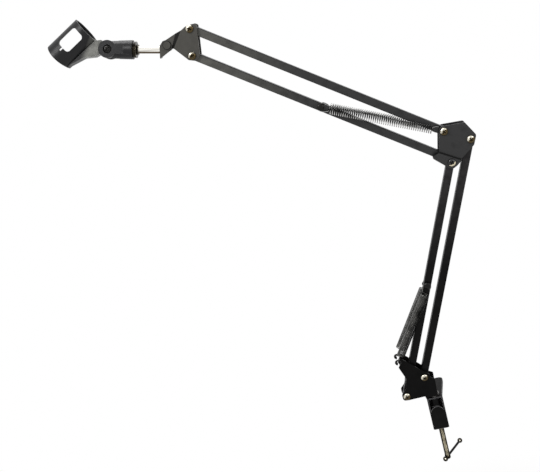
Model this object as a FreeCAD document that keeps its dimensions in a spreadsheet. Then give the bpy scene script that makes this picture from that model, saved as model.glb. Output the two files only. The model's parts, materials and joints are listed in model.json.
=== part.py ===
import FreeCAD, Part
import math
import os

# Desk microphone boom arm: a table clamp, a swivelling base bracket, two sprung parallelogram
# arms of square tube, an elbow bracket, a head bracket and a tilting clip on a threaded rod.
# Lengths are millimetres and angles degrees. +Z is up, the arm folds in a plane parallel to XZ,
# and the origin is the middle of the upper jaw's contact face, which lies on the table.

SIZES = {
    # square tubes of both arms
    "tube_width": 10.0,
    "tube_wall": 1.0,
    "tube_corner": 1.2,
    "lower_length": 333.5,
    "lower_angle": 68.2,
    "upper_length": 343.7,
    "upper_angle": 143.9,
    # places of the pivots, each from the pivot before it
    "base_link_x": 29.2,
    "base_link_z": 22.9,
    "elbow_link_x": -7.5,
    "elbow_link_z": 8.0,
    "head_link_x": 6.1,
    "head_link_z": 32.5,
    "tilt_link_x": -27.5,
    "tilt_link_z": 20.5,
    "post_reach": 36.5,
    "post_setback": 28.0,
    "pivot_height": 16.3,
    # sheet brackets
    "sheet": 1.5,
    "base_gap": 9.0,
    "elbow_gap": 7.2,
    "elbow_step": 3.2,
    "elbow_band": 2.0,
    "head_gap": 7.2,
    "head_step": 2.4,
    "plate_margin": 8.0,
    "corner_round": 2.5,
    "hook_radius": 2.3,
    "hook_width": 1.5,
    "hook_x": -1.6,
    "hook_z": 52.5,
    "web_height": -8.2,
    # pivot fasteners
    "bolt_radius": 2.5,
    "bolt_head_radius": 4.9,
    "bolt_head_height": 2.8,
    "nut_radius": 4.6,
    "nut_height": 3.6,
    "bolt_tail": 1.4,
    "bush_radius": 4.2,
    "rivet_bush_radius": 3.2,
    "pin_fit": 0.05,
    "face_fit": 0.1,
    # spring pins and springs
    "lower_pin_reach": 163.6,
    "upper_pin_reach": 170.0,
    "spring_pin_radius": 2.2,
    "spring_pin_head_radius": 3.4,
    "spring_pin_head_height": 1.8,
    "spring_pin_head_reach": 7.8,
    "wire_diameter": 1.3,
    "coil_radius": 3.1,
    "lower_coil_reach": 9.75,
    "upper_coil_reach": 9.3,
    "loop_fit": 0.35,
    "coil_lead": 9.5,
    "hook_lead": 11.0,
    "eye_lead": 15.5,
    "hairpin_half": 1.75,
    "hairpin_tail": 5.0,
    "lower_turns": 21.0,
    "upper_turns": 27.0,
    # tilt clevis and rod of the head
    "head_pitch": 14.5,
    "rod_drop": 6.0,
    "clevis_gap": 3.1,
    "clevis_web_reach": 8.5,
    "clevis_web_rise": 5.0,
    "clevis_web_drop": 10.5,
    "clevis_chin": 9.0,
    "clevis_round": 5.5,
    "tilt_head_radius": 5.4,
    "tilt_head_height": 2.2,
    "rod_radius": 4.7,
    "rod_spigot_radius": 2.4,
    "rod_rivet_radius": 2.9,
    "rod_end": 37.0,
    "stud_radius": 4.9,
    "stud_end": 53.0,
    # clip base
    "insert_radius": 10.2,
    "insert_start": 40.0,
    "insert_length": 4.5,
    "insert_sleeve_radius": 7.0,
    "insert_step_radius": 6.4,
    "insert_step": 2.4,
    "insert_end": 54.0,
    "barrel_start": 44.5,
    "barrel_radius": 11.9,
    "barrel_neck_radius": 11.2,
    "barrel_rim": 1.6,
    "clip_pivot_reach": 76.0,
    "ear_half": 9.8,
    "slot_half": 4.1,
    "slot_depth": 13.5,
    "ear_recess": 2.6,
    "clip_screw_radius": 2.0,
    "clip_head_radius": 5.6,
    # clip
    "clip_angle": 28.0,
    "clip_roll": 10.5,
    "clip_length": 52.0,
    "clip_near": 5.0,
    "clip_bore_radius": 16.0,
    "clip_wall": 2.4,
    "clip_centre": 37.0,
    "clip_near_lip_angle": 90.0,
    "clip_far_lip_angle": 350.0,
    "hoop_lip_angle": 435.0,
    "hoop_length": 5.0,
    "clip_base_half": 5.5,
    "clip_base_top": 19.5,
    "clip_bulge": 2.6,
    "tongue_half": 3.9,
    "tongue_round": 8.8,
    "neck_half": 6.8,
    "neck_clearance": 1.2,
    "window_length": 28.5,
    "window_height": 18.3,
    "window_start": 11.7,
    "window_low": 28.8,
    "window_round": 4.6,
    "slit_length": 4.5,
    "slit_width": 2.6,
    "slit_height": 37.5,
    # clamp
    "spine_half": 11.0,
    "spine_depth": 18.0,
    "spine_round": 2.6,
    "jaw_thickness": 5.0,
    "jaw_length": 40.0,
    "jaw_tip_half": 18.5,
    "jaw_round": 6.0,
    "clamp_bottom": 44.0,
    "lower_jaw_thickness": 14.0,
    "screw_setback": 2.0,
    "hub_radius": 6.8,
    "channel_half": 9.2,
    "channel_top": 3.5,
    "arch_top": 9.0,
    "post_radius": 4.5,
    "post_depth": 30.0,
    "collar_radius": 7.8,
    "rivet_height": 2.0,
    "screw_radius": 3.0,
    "screw_tip_radius": 2.0,
    "screw_tip": 4.0,
    "pad_radius": 9.0,
    "pad_height": 6.0,
    "pad_rest": 22.0,
    "screw_length": 87.9,
    "screw_head_radius": 3.6,
    "screw_head_height": 6.0,
    "tee_radius": 1.7,
    "tee_bar_length": 46.2,
    "tee_ball_radius": 3.7,
    "tee_turn": 33.0,
    "overrun": 1.0,
}

# Plate corners as shares of plate_margin about the pivot named first.
BASE_PLATE_SHARES = (
    ("hook", 0.9, 0.4, 0.3), ("second", 0.1, 1.11, 0.5), ("second", 0.89, 0.53, 0.4),
    ("second", 1.0, -0.2, 0.1), ("second", 1.66, -0.6, 0.15), ("foot", 0.65, 0.0, 0.2),
    ("foot", -1.4, 0.0, 0.1), ("first", 3.05, -0.7, 0.1), ("first", 0.2, -0.8, 0.7),
    ("first", -0.76, -0.72, 0.7), ("first", -0.8, 0.4, 0.5), ("first", 0.05, 1.3, 0.2),
    ("first", 0.58, 3.25, 0.2), ("hook", -0.05, -0.99, 0.1), ("hook", 0.6, 0.1, 0.1),
)
ELBOW_PLATE_SHARES = (
    ("fourth", -0.87, -0.4, 0.2), ("fourth", -0.6, 0.85, 0.6), ("fourth", 0.2, 0.88, 0.2),
    ("second", -0.4, 2.85, 0.35), ("second", 0.98, 0.5, 0.6), ("second", 0.35, -1.0, 0.6),
)
ELBOW_LUG_SHARES = (
    ("first", 0.75, -0.7, 0.4), ("first", -0.05, -1.1, 0.5), ("first", -0.75, -0.6, 0.4),
    ("third", -1.75, 0.25, 0.1), ("third", -1.8, 0.65, 0.1),
)
ELBOW_BEND_SHARES = (("first", 1.7, 0.15), ("third", -0.6, 1.15))
HEAD_PLATE_SHARES = (
    ("second", -0.6, 0.5, 0.3), ("second", 0.69, 0.62, 0.4), ("second", 1.2, 0.3, 0.3),
    ("first", 1.2, -0.25, 0.4), ("first", 0.4, -0.9, 0.5), ("first", -0.7, -0.5, 0.4),
)
HEAD_TONGUE_SHARES = (("tilt", 0.1, -0.75, 0.4), ("tilt", -0.8, -0.2, 0.6), ("tilt", -0.3, 0.72, 0.5))
HEAD_BEND_SHARES = (("tilt", 0.94, -0.76), ("tilt", 2.81, 1.62), ("tilt", 0.5, -0.72), ("tilt", 1.81, 1.4))
BOLT_DOME_SHARE = 0.35
PAD_CHAMFER_SHARE = 0.25
MID_HEIGHT_SHARE = 0.5
ARCH_RISE_SHARE = 0.95
ROUND_LIMIT_SHARE = 0.45
FLAT_SHARE = 1e-9
WEB_SHARES = (-1.4, 0.6)
HOOK_MOUTH_SHARES = ((0.0, 0.0), (-0.3, -3.0), (3.0, -3.0), (3.0, -0.4))
CLIP_NECK_SHARES = ((-5.9, 2.2), (-3.4, 1.5), (-2.15, 0.57), (0.0, 0.0), (0.18, 1.62), (-0.55, 2.15))
CLIP_TONGUE_SHARES = ((-1.7, 1.6), (-1.0, -0.3), (0.0, -1.0), (1.0, -0.2), (1.0, 0.6), (-0.35, 1.75))
QUARTERS = 4
HEXAGON = 6
RIGHT_ANGLE = 90.0
FULL_TURN = 360.0

Vector = FreeCAD.Vector
X_AXIS = Vector(1, 0, 0)
Y_AXIS = Vector(0, 1, 0)
Z_AXIS = Vector(0, 0, 1)
NODES = []

doc = FreeCAD.newDocument("boom_arm")
sheet = doc.addObject("Spreadsheet::Sheet", "sizes")
for row, (alias, value) in enumerate(SIZES.items(), start=1):
    sheet.set(f"A{row}", alias)
    sheet.set(f"B{row}", str(value))
    sheet.setAlias(f"B{row}", alias)
doc.recompute()


def size(alias):
    """Reads one driving dimension from the sheet."""
    return float(sheet.get(alias))


# Pivots in the arm's plane, measured from the first base pivot, with Y as the depth.
def polar(length, angle):
    return Vector(length * math.cos(math.radians(angle)), 0, length * math.sin(math.radians(angle)))


HALF = size("tube_width") / 2
SHEET = size("sheet")
BASE_1 = Vector(0, 0, 0)
BASE_2 = Vector(size("base_link_x"), 0, size("base_link_z"))
ELBOW_1 = polar(size("lower_length"), size("lower_angle"))
ELBOW_2 = ELBOW_1 + BASE_2
ELBOW_3 = ELBOW_1 + Vector(size("elbow_link_x"), 0, size("elbow_link_z"))
HEAD_LINK = Vector(size("head_link_x"), 0, size("head_link_z"))
ELBOW_4 = ELBOW_3 + HEAD_LINK
HEAD_1 = ELBOW_3 + polar(size("upper_length"), size("upper_angle"))
HEAD_2 = HEAD_1 + HEAD_LINK
TILT = HEAD_1 + Vector(size("tilt_link_x"), 0, size("tilt_link_z"))
HOOK = Vector(size("hook_x"), 0, size("hook_z"))
FOOT = Vector(size("post_reach"), 0, size("web_height"))
LOWER_PIN = polar(size("lower_pin_reach"), size("lower_angle"))
UPPER_PIN = ELBOW_3 + polar(size("upper_pin_reach"), size("upper_angle"))
CLIP_PIVOT_LOCAL = Vector(-size("clip_pivot_reach"), 0, -size("rod_drop"))
ARM_ORIGIN = Vector(-size("post_reach"), -size("post_setback"), size("pivot_height"))
POST_Y = -size("post_setback")


def in_arm(point, turn=0.0):
    """Placement of a sub-part whose own origin is a point of the arm's plane, turned in that plane."""
    return FreeCAD.Placement(ARM_ORIGIN + point, FreeCAD.Rotation(-Y_AXIS, turn))


ARM_PLACE = in_arm(BASE_1)
HEAD_PLACE = in_arm(TILT, -size("head_pitch"))
CLIP_ROLL = FreeCAD.Rotation(X_AXIS, -size("clip_roll"))
CLIP_BASE_PLACE = HEAD_PLACE.multiply(FreeCAD.Placement(Vector(), CLIP_ROLL, -Z_AXIS * size("rod_drop")))
CLIP_TURN = FreeCAD.Rotation(-Y_AXIS, size("clip_angle") + size("head_pitch"))
CLIP_PLACE = CLIP_BASE_PLACE.multiply(FreeCAD.Placement(CLIP_PIVOT_LOCAL, CLIP_TURN))
POST_PLACE = FreeCAD.Placement(Vector(0, POST_Y, 0), FreeCAD.Rotation())
SCREW_PLACE = FreeCAD.Placement(Vector(0, size("screw_setback"), 0), FreeCAD.Rotation())


def node(obj, label):
    """Registers an object as one sub-part under its own name."""
    obj.Label = label
    NODES.append(obj)
    return obj


def feature(label, shape, placement):
    """A sub-part whose solid comes from lofts, bends or sweeps."""
    obj = doc.addObject("Part::Feature", label)
    obj.Shape = shape
    obj.Placement = placement
    return node(obj, label)


def plane_of(body, role):
    return next(item for item in body.Origin.OriginFeatures if item.Role == role)


def sketch_on(body, role, geometry):
    """A sketch on one of the body's own planes."""
    sketch = body.newObject("Sketcher::SketchObject", body.Name + "Sketch")
    sketch.AttachmentSupport = [(plane_of(body, role), "")]
    sketch.MapMode = "FlatFace"
    sketch.addGeometry(geometry, False)
    return sketch


def rectangle(half_x, half_y):
    """Corners of a rectangle about the origin, in the XY plane."""
    return [
        Vector(-half_x, -half_y, 0), Vector(half_x, -half_y, 0), Vector(half_x, half_y, 0),
        Vector(-half_x, half_y, 0),
    ]


def loop_lines(points):
    return [Part.LineSegment(a, b) for a, b in zip(points, points[1:] + points[:1])]


def rounded_edges(points, radii):
    """Lines and arcs of a closed polygon whose corners are rounded, each limited by its sides."""
    cuts = []
    count = len(points)
    limit = ROUND_LIMIT_SHARE
    for i, corner in enumerate(points):
        before = points[i - 1] - corner
        after = points[(i + 1) % count] - corner
        half = before.getAngle(after) / 2
        reach = min(radii[i] / math.tan(half), before.Length * limit, after.Length * limit)
        radius = reach * math.tan(half)
        start = corner + before.normalize() * reach
        end = corner + after.normalize() * reach
        inward = (before + after).normalize()
        middle = corner + inward * (radius / math.sin(half) - radius)
        cuts.append((start, middle, end, radius))
    edges = []
    for i, (start, middle, end, radius) in enumerate(cuts):
        if radius > 0:
            edges.append(Part.Arc(start, middle, end))
        edges.append(Part.LineSegment(end, cuts[(i + 1) % count][0]))
    return edges


def face_of(edges):
    return Part.Face(Part.Wire(Part.__sortEdges__([edge.toShape() for edge in edges])))


def prism(points, radii, low, high, direction=Y_AXIS):
    """A flat outline with rounded corners, thickened along a direction from low to high."""
    solid = face_of(rounded_edges(points, radii)).extrude(direction * (high - low))
    solid.translate(direction * low)
    return solid


def rod_along(direction, radius, low, high, centre=None):
    base = (centre if centre else Vector()) + direction * low
    return Part.makeCylinder(radius, high - low, base, direction)


def turned_body(label, profile, placement, axis="V_Axis"):
    """A body of revolution about its own Z from a profile of radius and height."""
    body = doc.addObject("PartDesign::Body", label)
    points = [Vector(radius, height, 0) for radius, height in profile]
    sketch = sketch_on(body, "XZ_Plane", loop_lines(points))
    turn = body.newObject("PartDesign::Revolution", label + "Turn")
    turn.Profile = sketch
    turn.ReferenceAxis = (sketch, [axis])
    turn.Angle = FULL_TURN
    body.Placement = placement
    return body


def group(label, bodies):
    """Several like pieces that share one node."""
    compound = doc.addObject("Part::Compound", label)
    compound.Links = bodies
    return node(compound, label)


def outward(point, reach):
    """Placement of a piece at a pivot: its own Z looks out of the front, its origin at depth reach."""
    turn = FreeCAD.Rotation(X_AXIS, RIGHT_ANGLE)
    return FreeCAD.Placement(ARM_ORIGIN + point + Y_AXIS * reach, turn)


def backward(point, reach):
    """Placement of a piece at a pivot: its own Z looks out of the back, its origin at depth reach."""
    turn = FreeCAD.Rotation(X_AXIS, -RIGHT_ANGLE)
    return FreeCAD.Placement(ARM_ORIGIN + point + Y_AXIS * reach, turn)


def bound(kind, label, **expressions):
    """A primitive whose sizes are bound to the sheet."""
    obj = doc.addObject(kind, label)
    for name, text in expressions.items():
        obj.setExpression(name, text)
    return obj


def bored(label, solid, radius, height, placement):
    """A primitive with a round bore along its own Z, both bound to the sheet."""
    hole = bound("Part::Cylinder", label + "_bore", Radius=radius, Height=height)
    cut = doc.addObject("Part::Cut", label)
    cut.Base = solid
    cut.Tool = hole
    cut.Placement = placement
    return cut


# Square tubes
def tube(label, length_alias, point, angle, pin_alias=None):
    """A rounded square tube along its own X, with round ends about the two pivots."""
    body = doc.addObject("PartDesign::Body", label)
    inner = HALF - size("tube_wall")
    profile = []
    for half, corner in ((HALF, size("tube_corner")), (inner, size("tube_corner") - size("tube_wall"))):
        profile += rounded_edges(rectangle(half, half), [corner] * QUARTERS)
    sketch = sketch_on(body, "YZ_Plane", profile)
    pad = body.newObject("PartDesign::Pad", label + "Pad")
    pad.Profile = sketch
    pad.SideType = "Two sides"
    pad.setExpression("Length", f"sizes.{length_alias} + sizes.tube_width / 2")
    pad.setExpression("Length2", "sizes.tube_width / 2")
    length = size(length_alias)
    over = HALF + size("overrun")
    cutters = []
    for centre, side in ((0.0, -1.0), (length, 1.0)):
        corners = [
            Vector(centre, HALF, 0), Vector(centre, over, 0), Vector(centre + side * over, over, 0),
            Vector(centre + side * over, -over, 0), Vector(centre, -over, 0), Vector(centre, -HALF, 0),
        ]
        cutters += [Part.LineSegment(a, b) for a, b in zip(corners, corners[1:])]
        cutters.append(Part.Arc(corners[-1], Vector(centre + side * HALF, 0, 0), corners[0]))
    rounding = body.newObject("PartDesign::Pocket", label + "Ends")
    rounding.Profile = sketch_on(body, "XZ_Plane", cutters)
    rounding.Type = "ThroughAll"
    rounding.SideType = "Symmetric"
    holes = [(0.0, size("bolt_radius")), (length, size("bolt_radius"))]
    if pin_alias:
        holes.append((size(pin_alias), size("spring_pin_radius")))
    circles = [Part.Circle(Vector(place, 0, 0), Z_AXIS, radius + size("pin_fit")) for place, radius in holes]
    bores = body.newObject("PartDesign::Pocket", label + "Bores")
    bores.Profile = sketch_on(body, "XZ_Plane", circles)
    bores.Type = "ThroughAll"
    bores.SideType = "Symmetric"
    body.Placement = in_arm(point, angle)
    return node(body, label)


# Sheet brackets
def corners_from(table, pivots):
    """Corner points and their rounding from a table of shares."""
    margin = size("plate_margin")
    points = []
    radii = []
    for entry in table:
        points.append(pivots[entry[0]] + Vector(entry[1], 0, entry[2]) * margin)
        radii.append(entry[3] * margin if len(entry) > 3 else 0.0)
    return points, radii


def drilled(shape, places, radius):
    reach = shape.BoundBox.YMax - shape.BoundBox.YMin + size("base_gap")
    for place in places:
        shape = shape.cut(rod_along(Y_AXIS, radius + size("pin_fit"), -reach, reach, place))
    return shape


def mirrored(shape):
    return shape.mirror(Vector(0, 0, 0), Y_AXIS)


def base_bracket():
    """One folded sheet: two hooked plates and the web that the post is riveted to."""
    pivots = {"first": BASE_1, "second": BASE_2, "hook": HOOK, "foot": FOOT}
    gap = size("base_gap")
    points, radii = corners_from(BASE_PLATE_SHARES, pivots)
    plate = prism(points, radii, -gap - SHEET, -gap)
    inner = size("hook_radius")
    outer = inner + size("hook_width")
    ring = rod_along(Y_AXIS, outer, -gap - SHEET, -gap, HOOK)
    ring = ring.fuse(prism(
        [HOOK + Vector(0, 0, inner), HOOK + Vector(0, 0, outer), points[0], points[-1]], [0.0] * QUARTERS,
        -gap - SHEET, -gap,
    ))
    mouth = prism(
        [HOOK + Vector(x, 0, z) * outer for x, z in HOOK_MOUTH_SHARES], [0.0] * len(HOOK_MOUTH_SHARES),
        -gap - SHEET, -gap,
    )
    eye = rod_along(Y_AXIS, inner, -gap - SHEET - size("overrun"), size("overrun"), HOOK)
    plate = plate.cut(rod_along(Y_AXIS, outer + size("loop_fit"), -gap - SHEET, -gap, HOOK))
    plate = plate.fuse(ring.cut(mouth).cut(eye))
    margin = size("plate_margin")
    start, end = WEB_SHARES
    web = Part.makeBox(
        margin * (end - start), 2 * (gap + SHEET), SHEET, FOOT + Vector(margin * start, -gap - SHEET, 0)
    )
    shape = plate.fuse([mirrored(plate), web]).removeSplitter()
    shape = shape.cut(rod_along(Z_AXIS, size("post_radius"), -SHEET, 2 * SHEET, FOOT))
    return feature("base_bracket", drilled(shape, (BASE_1, BASE_2), size("bolt_radius")), ARM_PLACE)


def stepped_plate(main, tongue, bend, gap, step, holes):
    """A sheet plate whose tongue stands off the main plate behind a sloped band between two bend lines."""
    start, end, low_start, low_end = bend
    plate = prism(main[0] + [start, end], main[1] + [0.0, 0.0], -gap - SHEET, -gap)
    lug = prism(tongue[0] + [low_end, low_start], tongue[1] + [0.0, 0.0], -gap - step - SHEET, -gap - step)
    sections = []
    for a, b, depth in ((start, end, gap), (low_start, low_end, gap + step)):
        inner = Y_AXIS * -depth
        outer = Y_AXIS * (-depth - SHEET)
        sections.append(Part.makePolygon([a + inner, b + inner, b + outer, a + outer, a + inner]))
    slope = Part.makeLoft(sections, True, True)
    return drilled(plate.fuse([slope, lug]).removeSplitter(), holes, size("bolt_radius"))


def beside(start, end, band, towards):
    """The two bend lines of a band of even width, the second on the side of a given point."""
    along = Vector(end - start).normalize()
    across = Vector(along.z, 0, -along.x)
    if across.dot(towards - start) < 0:
        across = across * -1
    return start, end, start + across * band, end + across * band


def plate_pair(name, shape):
    feature(name + "_plate_front", shape, ARM_PLACE)
    feature(name + "_plate_rear", mirrored(shape), ARM_PLACE)


def elbow_plates():
    pivots = {"first": ELBOW_1, "second": ELBOW_2, "third": ELBOW_3, "fourth": ELBOW_4}
    main = corners_from(ELBOW_PLATE_SHARES, pivots)
    lug = corners_from(ELBOW_LUG_SHARES, pivots)
    start, end = corners_from(ELBOW_BEND_SHARES, pivots)[0]
    bend = beside(start, end, size("elbow_band"), lug[0][0])
    shape = stepped_plate(
        main, lug, bend, size("elbow_gap"), size("elbow_step"), (ELBOW_1, ELBOW_2, ELBOW_3, ELBOW_4)
    )
    plate_pair("elbow", shape)


def head_plates():
    pivots = {"first": HEAD_1, "second": HEAD_2, "tilt": TILT}
    main = corners_from(HEAD_PLATE_SHARES, pivots)
    tongue = corners_from(HEAD_TONGUE_SHARES, pivots)
    bend = corners_from(HEAD_BEND_SHARES, pivots)[0]
    shape = stepped_plate(
        main, tongue, bend, size("head_gap"), -size("head_step"), (HEAD_1, HEAD_2, TILT)
    )
    plate_pair("head", shape)


# Pivot fasteners
def bolt_profile(shank, head_radius, head_height, grip, tail):
    """Pan head above zero, shank below it."""
    dome = head_height * BOLT_DOME_SHARE
    return [
        (0.0, -grip - tail), (shank, -grip - tail), (shank, 0.0), (head_radius, 0.0),
        (head_radius, head_height - dome), (head_radius - dome, head_height), (0.0, head_height),
    ]


def hex_nut(label, placement, radius, height, bore):
    """A hexagon nut, bored for its bolt, standing on its own origin."""
    body = bound("Part::Prism", label + "_hexagon", Circumradius=radius, Height=height)
    body.Polygon = HEXAGON
    return bored(label, body, bore, height, placement)


def pivot_nut(label, point, reach):
    return hex_nut(label, backward(point, reach), "sizes.nut_radius", "sizes.nut_height", "sizes.bolt_radius")


def bush_pair(label, point, radius, gap):
    """Two spacer rings that fill the room between a tube and the plates on each side of it."""
    height = f"{gap} - sizes.tube_width / 2 - sizes.face_fit"
    low = HALF + size("face_fit")
    pair = []
    for side, place in (("front", outward(point, -low)), ("rear", backward(point, low))):
        name = f"{label}_{side}"
        ring = bound("Part::Cylinder", name + "_ring", Radius=radius, Height=height)
        pair.append(bored(name, ring, "sizes.bolt_radius + sizes.pin_fit", height, place))
    return pair


def fasteners(name, stations):
    """Bolts, nuts and bushes of one bracket. A station is its pivot, half gap and whether it has bushes."""
    bolts = []
    nuts = []
    bushes = []
    tail = size("nut_height") + size("bolt_tail")
    for i, (point, gap, bushed) in enumerate(stations):
        outer = sum(size(alias) for alias in gap) + SHEET
        profile = bolt_profile(
            size("bolt_radius"), size("bolt_head_radius"), size("bolt_head_height"), 2 * outer, tail
        )
        bolts.append(turned_body(f"{name}_bolt_{i}", profile, outward(point, -outer)))
        nuts.append(pivot_nut(f"{name}_nut_{i}", point, outer))
        if bushed:
            bushes += bush_pair(f"{name}_bush_{i}", point, "sizes.bush_radius", in_sheet(gap))
    group(name + "_bolts", bolts)
    group(name + "_nuts", nuts)
    group(name + "_bushes", bushes)


def in_sheet(aliases):
    """The sum of some of the sheet's values as an expression."""
    return " + ".join("sizes." + alias for alias in aliases)


def elbow_rivet(gap):
    """Flush rivet of the upper arm's lower tube, with its two bushes."""
    outer = sum(size(alias) for alias in gap) + SHEET
    height = f"2 * ({in_sheet(gap)} + sizes.sheet)"
    rivet = bound("Part::Cylinder", "rivet", Radius="sizes.bolt_radius", Height=height)
    rivet.Placement = backward(ELBOW_3, -outer)
    node(rivet, "elbow_rivet")
    group("elbow_rivet_bushes", bush_pair("rivet_bush", ELBOW_3, "sizes.rivet_bush_radius", in_sheet(gap)))


def spring_pin(label, point):
    """A pin across a tube with a round head at each end, outside the spring loops."""
    shank = size("spring_pin_radius")
    head = size("spring_pin_head_radius")
    low = size("spring_pin_head_reach")
    high = low + size("spring_pin_head_height")
    dome = size("spring_pin_head_height") * BOLT_DOME_SHARE
    upper = [(shank, low), (head, low), (head, high - dome), (head - dome, high), (0.0, high)]
    lower = [(radius, -height) for radius, height in reversed(upper)]
    node(turned_body(label, lower + upper, outward(point, 0)), label)


# Springs
def biarc(start, start_way, end, end_way):
    """Two arcs that leave start and reach end along given directions, meeting smoothly."""
    chord = end - start
    ways = start_way + end_way
    square = 2 * (start_way.dot(end_way) - 1)
    linear = -2 * chord.dot(ways)
    constant = chord.dot(chord)
    if abs(square) < FLAT_SHARE:
        reach = -constant / linear
    else:
        reach = (-linear - math.sqrt(linear * linear - 4 * square * constant)) / (2 * square)
    meeting = (start + start_way * reach + end - end_way * reach) / 2
    return [arc_from(start, start_way, meeting), arc_from(end, end_way * -1, meeting)]


def arc_from(start, way, end):
    """The arc that leaves start along a direction and ends at end."""
    chord = end - start
    unit = Vector(chord).normalize()
    side = way - unit * way.dot(unit)
    if side.Length < FLAT_SHARE:
        return Part.LineSegment(start, end)
    angle = way.getAngle(chord)
    middle = (start + end) / 2 + side.normalize() * (chord.Length / 2 * math.tan(angle / 2))
    return Part.Arc(start, middle, end)


def coil_arcs(origin, axis, inward, side, first, last, turns):
    """Quarter-turn biarcs of a helix that starts and ends at its inner side."""
    radius = size("coil_radius")
    climb = (last - first) / (2 * math.pi * turns)
    steps = int(round(turns * QUARTERS))

    def at(index):
        angle = 2 * math.pi * turns * index / steps
        spot = origin + axis * (first + climb * angle)
        spot += (inward * math.cos(angle) + side * math.sin(angle)) * radius
        way = axis * climb + (side * math.cos(angle) - inward * math.sin(angle)) * radius
        return spot, way.normalize()

    stations = [at(i) for i in range(steps + 1)]
    edges = []
    for (a, a_way), (b, b_way) in zip(stations, stations[1:]):
        edges += biarc(a, a_way, b, b_way)
    return edges, stations[0], stations[-1]


def eye_edges(centre, axis, side, radius, way):
    """A loop about a pin: a straight end, three quarters of a circle and a straight run to the coil."""
    wire = size("wire_diameter")
    near = centre - side * radius
    far = centre + side * radius
    back = centre - axis * (radius * way)
    return [
        Part.LineSegment(far + axis * (wire * way), far),
        Part.Arc(far, back, near),
    ], near


def spring(label, start, end, reach, turns, hooked, front):
    """One tension spring: an eye on its pin, the coil, and an eye or a hairpin at the other end."""
    depth = Y_AXIS * (-reach if front else reach)
    inward = Y_AXIS * (1 if front else -1)
    axis = Vector(end - start).normalize()
    side = axis.cross(inward)
    length = (end - start).Length
    wire = size("wire_diameter")
    radius = size("coil_radius")
    tail_lead = size("hook_lead") if hooked else size("eye_lead")
    coil, (head_spot, head_way), (tail_spot, tail_way) = coil_arcs(
        start + depth, axis, inward, side, size("coil_lead"), length - tail_lead, turns
    )
    level = depth + inward * radius
    eye = size("spring_pin_radius") + size("loop_fit") + wire / 2
    edges, leave = eye_edges(start + level, axis, side, eye, 1)
    run = leave + axis * (size("coil_lead") - eye - wire)
    edges.append(Part.LineSegment(leave, run))
    edges += biarc(run, axis, head_spot, head_way)
    edges += coil
    if hooked:
        leg = inward * size("hairpin_half")
        bend = end + depth - axis * size("hairpin_half")
        near = bend + leg
        rise = near - axis * (size("hook_lead") - radius - size("hairpin_half"))
        far = bend - leg
        edges += biarc(tail_spot, tail_way, rise, axis)
        edges.append(Part.LineSegment(rise, near))
        edges.append(Part.Arc(near, bend + axis * size("hairpin_half"), far))
        edges.append(Part.LineSegment(far, far - axis * size("hairpin_tail")))
    else:
        ring = size("bolt_radius") + size("loop_fit") + wire / 2
        centre = end + level
        near = centre + side * ring
        rise = near - axis * (size("eye_lead") - ring - wire)
        edges += biarc(tail_spot, tail_way, rise, axis)
        edges.append(Part.LineSegment(rise, near))
        edges.append(Part.Arc(near, centre + axis * ring, centre - side * ring))
        edges.append(Part.LineSegment(centre - side * ring, centre - side * ring - axis * wire))
    path = Part.Wire([edge.toShape() for edge in edges])
    first = path.OrderedEdges[0]
    begin = first.valueAt(first.FirstParameter)
    way = first.tangentAt(first.FirstParameter)
    section = Part.Wire([Part.makeCircle(wire / 2, begin, way)])
    solid = path.makePipeShell([section], True, False)
    print(label, "least gap", round(self_gap(path, wire), 2), "volume share",
          round(solid.Volume / (path.Length * math.pi * wire * wire / 4), 4))
    return feature(label, solid, ARM_PLACE)


def self_gap(path, wire):
    """Least gap of a wound wire to itself, on points one wire apart and more than half a turn apart."""
    points = path.discretize(Distance=wire)
    skip = int(math.ceil(math.pi * size("coil_radius") / wire))
    window = 2 * QUARTERS * skip
    least = path.Length
    for i, point in enumerate(points):
        for other in points[i + skip:i + window]:
            least = min(least, (point - other).Length)
    return least - wire


# Head: tilt clevis, rod and clip base, in their own frame about the tilt pivot
def tilt_clevis():
    """A bent sheet fork: two ears about the tilt pivot and a web that carries the rod."""
    reach = size("clevis_web_reach")
    drop = -size("rod_drop")
    high_edge = drop + size("clevis_web_rise")
    low_edge = drop - size("clevis_web_drop")
    round_end = size("clevis_round")
    low = size("clevis_gap")
    high = low + SHEET
    outline = [
        Vector(round_end, 0, -round_end), Vector(round_end, 0, round_end), Vector(-round_end, 0, round_end),
        Vector(-reach - SHEET, 0, high_edge), Vector(-reach - SHEET, 0, low_edge),
        Vector(0, 0, -size("clevis_chin")),
    ]
    ear = prism(outline, [round_end, round_end, round_end / 2, 0.0, 0.0, round_end], low, high)
    web = Part.makeBox(SHEET, 2 * high, high_edge - low_edge, Vector(-reach - SHEET, -high, low_edge))
    shape = ear.fuse([mirrored(ear), web]).removeSplitter()
    shape = shape.cut(rod_along(Y_AXIS, size("bolt_radius") + size("pin_fit"), -high * 2, high * 2))
    hole = rod_along(-X_AXIS, size("rod_spigot_radius"), 0, reach * 2, Vector(0, 0, drop))
    return feature("tilt_clevis", shape.cut(hole), HEAD_PLACE)


def tilt_bolt():
    """Black round-headed pivot of the tilt, through the head plates, with its nut."""
    gap = size("head_gap") - size("head_step")
    outer = gap + SHEET
    tail = size("nut_height") + size("bolt_tail")
    profile = bolt_profile(
        size("bolt_radius"), size("tilt_head_radius"), size("tilt_head_height"), 2 * outer, tail
    )
    node(turned_body("tilt_pivot", profile, outward(TILT, -outer)), "tilt_bolt")
    node(pivot_nut("tilt_pivot_nut", TILT, outer), "tilt_nut")


def along_rod(profile):
    """Profile and placement of a piece turned about the rod's axis, its heights run from the tilt pivot."""
    turn = HEAD_PLACE.Rotation.multiply(FreeCAD.Rotation(Y_AXIS, -RIGHT_ANGLE))
    return profile, FreeCAD.Placement(HEAD_PLACE.multVec(Vector(0, 0, -size("rod_drop"))), turn)


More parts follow.
